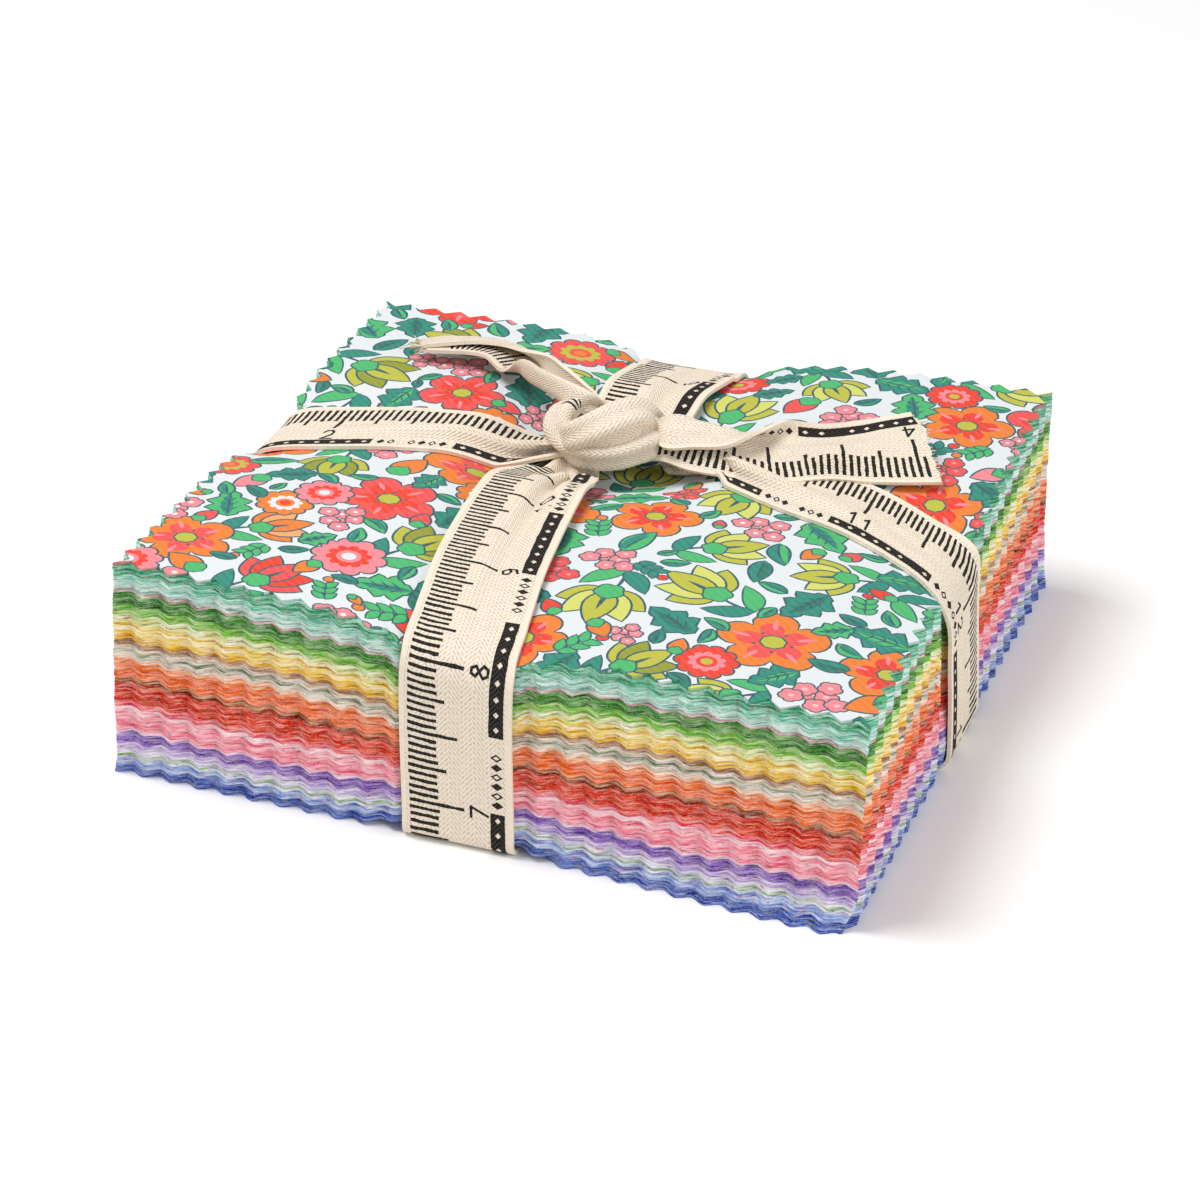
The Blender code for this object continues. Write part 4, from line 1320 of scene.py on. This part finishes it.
def flat_print(s, cuts, pieces):
    """The print cut into the flat tape: its points, first the stations', its triangles and their ink."""
    flat = [(along, across) for along in s for across in ACROSS]
    middles = np.array([shape[:, 0].mean() for shape, _ in pieces])
    crossing, faces, ink = {}, [], []
    for cut in cuts[1:-1]:
        crossing[cut] = [len(flat), len(flat) + 1]
        flat += [(cut, BORDER[0]), (cut, BORDER[1])]
    for s0, s1 in zip(cuts[:-1], cuts[1:]):
        inside = np.flatnonzero((s >= s0 - 1e-9) & (s <= s1 + 1e-9))
        known = list(range(int(inside[0]) * COLUMNS, (int(inside[-1]) + 1) * COLUMNS))
        known += crossing.get(s0, []) + crossing.get(s1, [])
        here = [pieces[i] for i in np.flatnonzero((middles > s0) & (middles < s1))]
        shapes = [shape for shape, _ in here]
        points = np.concatenate([[flat[k] for k in known], *shapes]) - [s0, 0]
        made, triangles, sources, owners = triangulated(points, [], rings_from(len(known), shapes), 0, 1e-4)
        index = []
        for p, source in zip(made, sources):
            same = [known[k] for k in source if k < len(known)]
            index.append(same[0] if same else len(flat))
            if not same:
                flat.append((s0 + p[0], p[1]))
        for triangle, owner in zip(triangles, owners):
            corners = [index[k] for k in triangle]
            if len(set(corners)) == 3:
                faces.append(corners)
                ink.append(1.0 if owner and all(here[k][1] for k in owner) else 0.0)
    return np.array(flat), np.array(faces), ink


def at_places(grid, s, flat):
    """Values known at stations and columns, read at flat places between them."""
    column = flat[:, 1] / TAPE_WIDTH * (COLUMNS - 1)
    i = np.clip(np.searchsorted(s, flat[:, 0], side="right") - 1, 0, len(s) - 2)
    j = np.clip(column.astype(int), 0, COLUMNS - 2)
    a, b = ((flat[:, 0] - s[i]) / (s[i + 1] - s[i]))[:, None], (column - j)[:, None]
    low = grid[i, j] * (1 - a) + grid[i + 1, j] * a
    high = grid[i, j + 1] * (1 - a) + grid[i + 1, j + 1] * a
    return low * (1 - b) + high * b


def tape_plan():
    """The stations with the places of the tape's cuts among them, where they lie along it, the cuts, and
    the pieces of its print."""
    rows, starts = tape_rows()
    s = along_tape(rows)
    cuts, pieces = {0.0, float(s[-1])}, []
    for start, end, anchor, *options in tape_print(s, rows, starts):
        more, places = print_pieces(float(start), float(end), float(anchor), *options)
        pieces += more
        cuts |= {float(start), float(end), *map(float, places)}
    cuts = np.array(sorted(cuts))
    gap = np.abs(s[:, None] - cuts[None, :]).min(1)
    stations = np.sort(np.concatenate([s[gap > ROOM_AT_A_CUT], cuts]))
    return raw_ends(rows_at(s, rows, stations)), stations, cuts, pieces


def build_tape(material):
    """The tape as one closed piece: its print in its outer face, a plain inner face, and walls all round."""
    rows, s, cuts, pieces = tape_plan()
    flat, triangles, ink = flat_print(s, cuts, pieces)
    corners = flat[triangles]
    area = np.cross(corners[:, 1] - corners[:, 0], corners[:, 2] - corners[:, 0])
    triangles[area > 0] = triangles[area > 0][:, ::-1]
    normals = row_normals(rows)
    way = at_places(normals, s, flat)
    outer = at_places(rows, s, flat) + way / np.linalg.norm(way, axis=1)[:, None] * TAPE_THICK / 2
    inner = (rows - normals * TAPE_THICK / 2).reshape(-1, 3)
    grid = np.arange(len(inner)).reshape(-1, COLUMNS)
    back = np.stack([grid[:-1, :-1], grid[1:, :-1], grid[1:, 1:], grid[:-1, 1:]], -1)
    back = back.reshape(-1, 4) + len(outer)
    ring = np.concatenate([grid[:, 0], grid[-1, 1:], grid[-2::-1, -1], grid[0, -2:0:-1]])
    after = np.roll(ring, -1)
    walls = np.stack([ring, after, after + len(outer), ring + len(outer)], 1)
    faces = [*triangles.tolist(), *back.tolist(), *walls.tolist()]
    obj = make_object("tape", np.concatenate([outer, inner]), faces, material, 60)
    face_values(obj, "ink", np.concatenate([ink, np.zeros(len(back) + len(walls))]))
    where = np.concatenate([flat, flat[: len(inner)]])
    loops = np.empty(len(obj.data.loops), np.int32)
    obj.data.loops.foreach_get("vertex_index", loops)
    layer = obj.data.uv_layers.new(name="cloth")
    layer.data.foreach_set("uv", where[loops].astype(np.float32).ravel())
    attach(obj, "root")
    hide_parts("tie_tape")
    threads = build_threads(rows, material)


# The tape's weave: how wide a run of slanting ribs is before it turns, how much the ribs slant, how far
# apart they and the threads that cross them are, and how wide the plain edge is
HERRINGBONE = 2.1
RIB_SLANT = 1.25
RIB_PITCH = 0.92
THREAD_PITCH = 0.70
PLAIN_EDGE = 0.9
# The cotton's colours from low in the weave to high: the darker low ones are painted shade in the grooves
# between the ribs and in the pits, mixed with the cotton's own uneven tone
TAPE_TONES_AND_GROOVE_SHADE = ((0.05, "#C8B296"), (0.36, "#E8D9C4"), (0.85, "#F3E8D9"))
INK = "#171516"


def tape_material():
    """Cotton twill in a herringbone: slanting ribs that turn back and forth, with a pit at each thread. Its
    colour is darker where the weave is low: painted shade in the grooves and pits, mixed with the cotton's
    own uneven tone.
    """
    n = Nodes("cotton_tape")
    ink = n.add("ShaderNodeAttribute", attribute_name="ink").outputs["Fac"]
    where = n.add("ShaderNodeUVMap", uv_map="cloth").outputs[0]
    along, across, _ = n.add("ShaderNodeSeparateXYZ", {"Vector": where}).outputs
    zigzag = n.times(n.math("PINGPONG", across, HERRINGBONE), RIB_SLANT)
    ribs = n.math("SINE", n.times(n.plus(along, zigzag), 2 * math.pi / RIB_PITCH))
    from_middle = n.math("ABSOLUTE", n.math("SUBTRACT", across, TAPE_WIDTH / 2))
    inside = n.math("LESS_THAN", from_middle, TAPE_WIDTH / 2 - PLAIN_EDGE)
    ribs = n.times(ribs, n.plus(0.25, n.times(inside, 0.75)))
    columns = n.math("SINE", n.times(across, 2 * math.pi / THREAD_PITCH))
    weave = n.plus(n.times(ribs, 0.30), n.times(n.times(ribs, columns), 0.12))
    grain = n.noise((1100, 1100, 1100), 3.0, 0.65)
    height = n.plus(n.plus(weave, 0.25), n.times(grain, 0.55))
    # Colour by height in the weave: painted shade, darker in the grooves and pits, on top of the grain's
    # random tone
    cloth_with_groove_shade = n.ramp(height, [(at, paint(cloth_with_groove_shade)) for at, cloth_with_groove_shade in TAPE_TONES_AND_GROOVE_SHADE])
    worn = n.math("MAXIMUM", n.times(n.math("SUBTRACT", 0.75, height), 0.10), 0.0)
    colour = n.mix(n.times(ink, n.math("SUBTRACT", 1.0, worn)), cloth_with_groove_shade, paint(INK))
    n.bump(height, 0.8, 0.22)
    return n.surface(colour, 0.9, 0.15)


# The room: a pale floor, soft light and the camera, in metres

FLOOR_REACH = 3000.0
WORLD_STRENGTH = 0.45
WINDOW = ((-0.44, -0.12, 1.0), 0.60, 8.9)
FILL = ((1.0, -0.4, 0.5), 1.0, 5.4)
SENSOR = 36.0
LENS = SENSOR * 4553.0 / 1200.0
CAMERA_PLACE = (0.1980, -0.6631, 0.3811)
CAMERA_RIGHT = (0.9496, 0.3100, 0.0470)
CAMERA_UP = (-0.1849, 0.4327, 0.8824)


def soft_light(name, place, size, power):
    data = bpy.data.lights.new(name, "AREA")
    data.shape = "DISK"
    data.size = size
    data.energy = power
    obj = bpy.data.objects.new(name, data)
    obj.location = place
    obj.rotation_euler = Vector(place).to_track_quat("Z", "Y").to_euler()
    bpy.context.scene.collection.objects.link(obj)


def build_room():
    paper = Nodes("pale_floor").surface(paint("#FCFCFC"), 0.9)
    corners = [(x * FLOOR_REACH, y * FLOOR_REACH, 0) for x, y in ((-1, -1), (1, -1), (1, 1), (-1, 1))]
    make_object("floor", corners, [(0, 1, 2, 3)], paper)
    world = bpy.data.worlds.new("soft_room")
    world.use_nodes = True
    background = world.node_tree.nodes["Background"].inputs
    background["Color"].default_value = (1.0, 1.0, 1.0, 1.0)
    background["Strength"].default_value = WORLD_STRENGTH
    bpy.context.scene.world = world
    bpy.context.scene.view_settings.view_transform = "Standard"
    soft_light("window", *WINDOW)
    soft_light("fill", *FILL)


def build_camera():
    data = bpy.data.cameras.new("camera")
    data.sensor_width = SENSOR
    data.lens = LENS
    data.clip_start = 0.05
    data.clip_end = 10.0
    obj = bpy.data.objects.new("camera", data)
    right, up = Vector(CAMERA_RIGHT), Vector(CAMERA_UP)
    back = right.cross(up).normalized()
    turn = Matrix((right.normalized(), back.cross(right.normalized()), back)).transposed().to_4x4()
    obj.matrix_world = Matrix.Translation(CAMERA_PLACE) @ turn
    bpy.context.scene.collection.objects.link(obj)
    bpy.context.scene.camera = obj


# The whole scene

build_squares(fabric_list())
build_top(top_material())
build_tape(tape_material())
build_room()
build_camera()
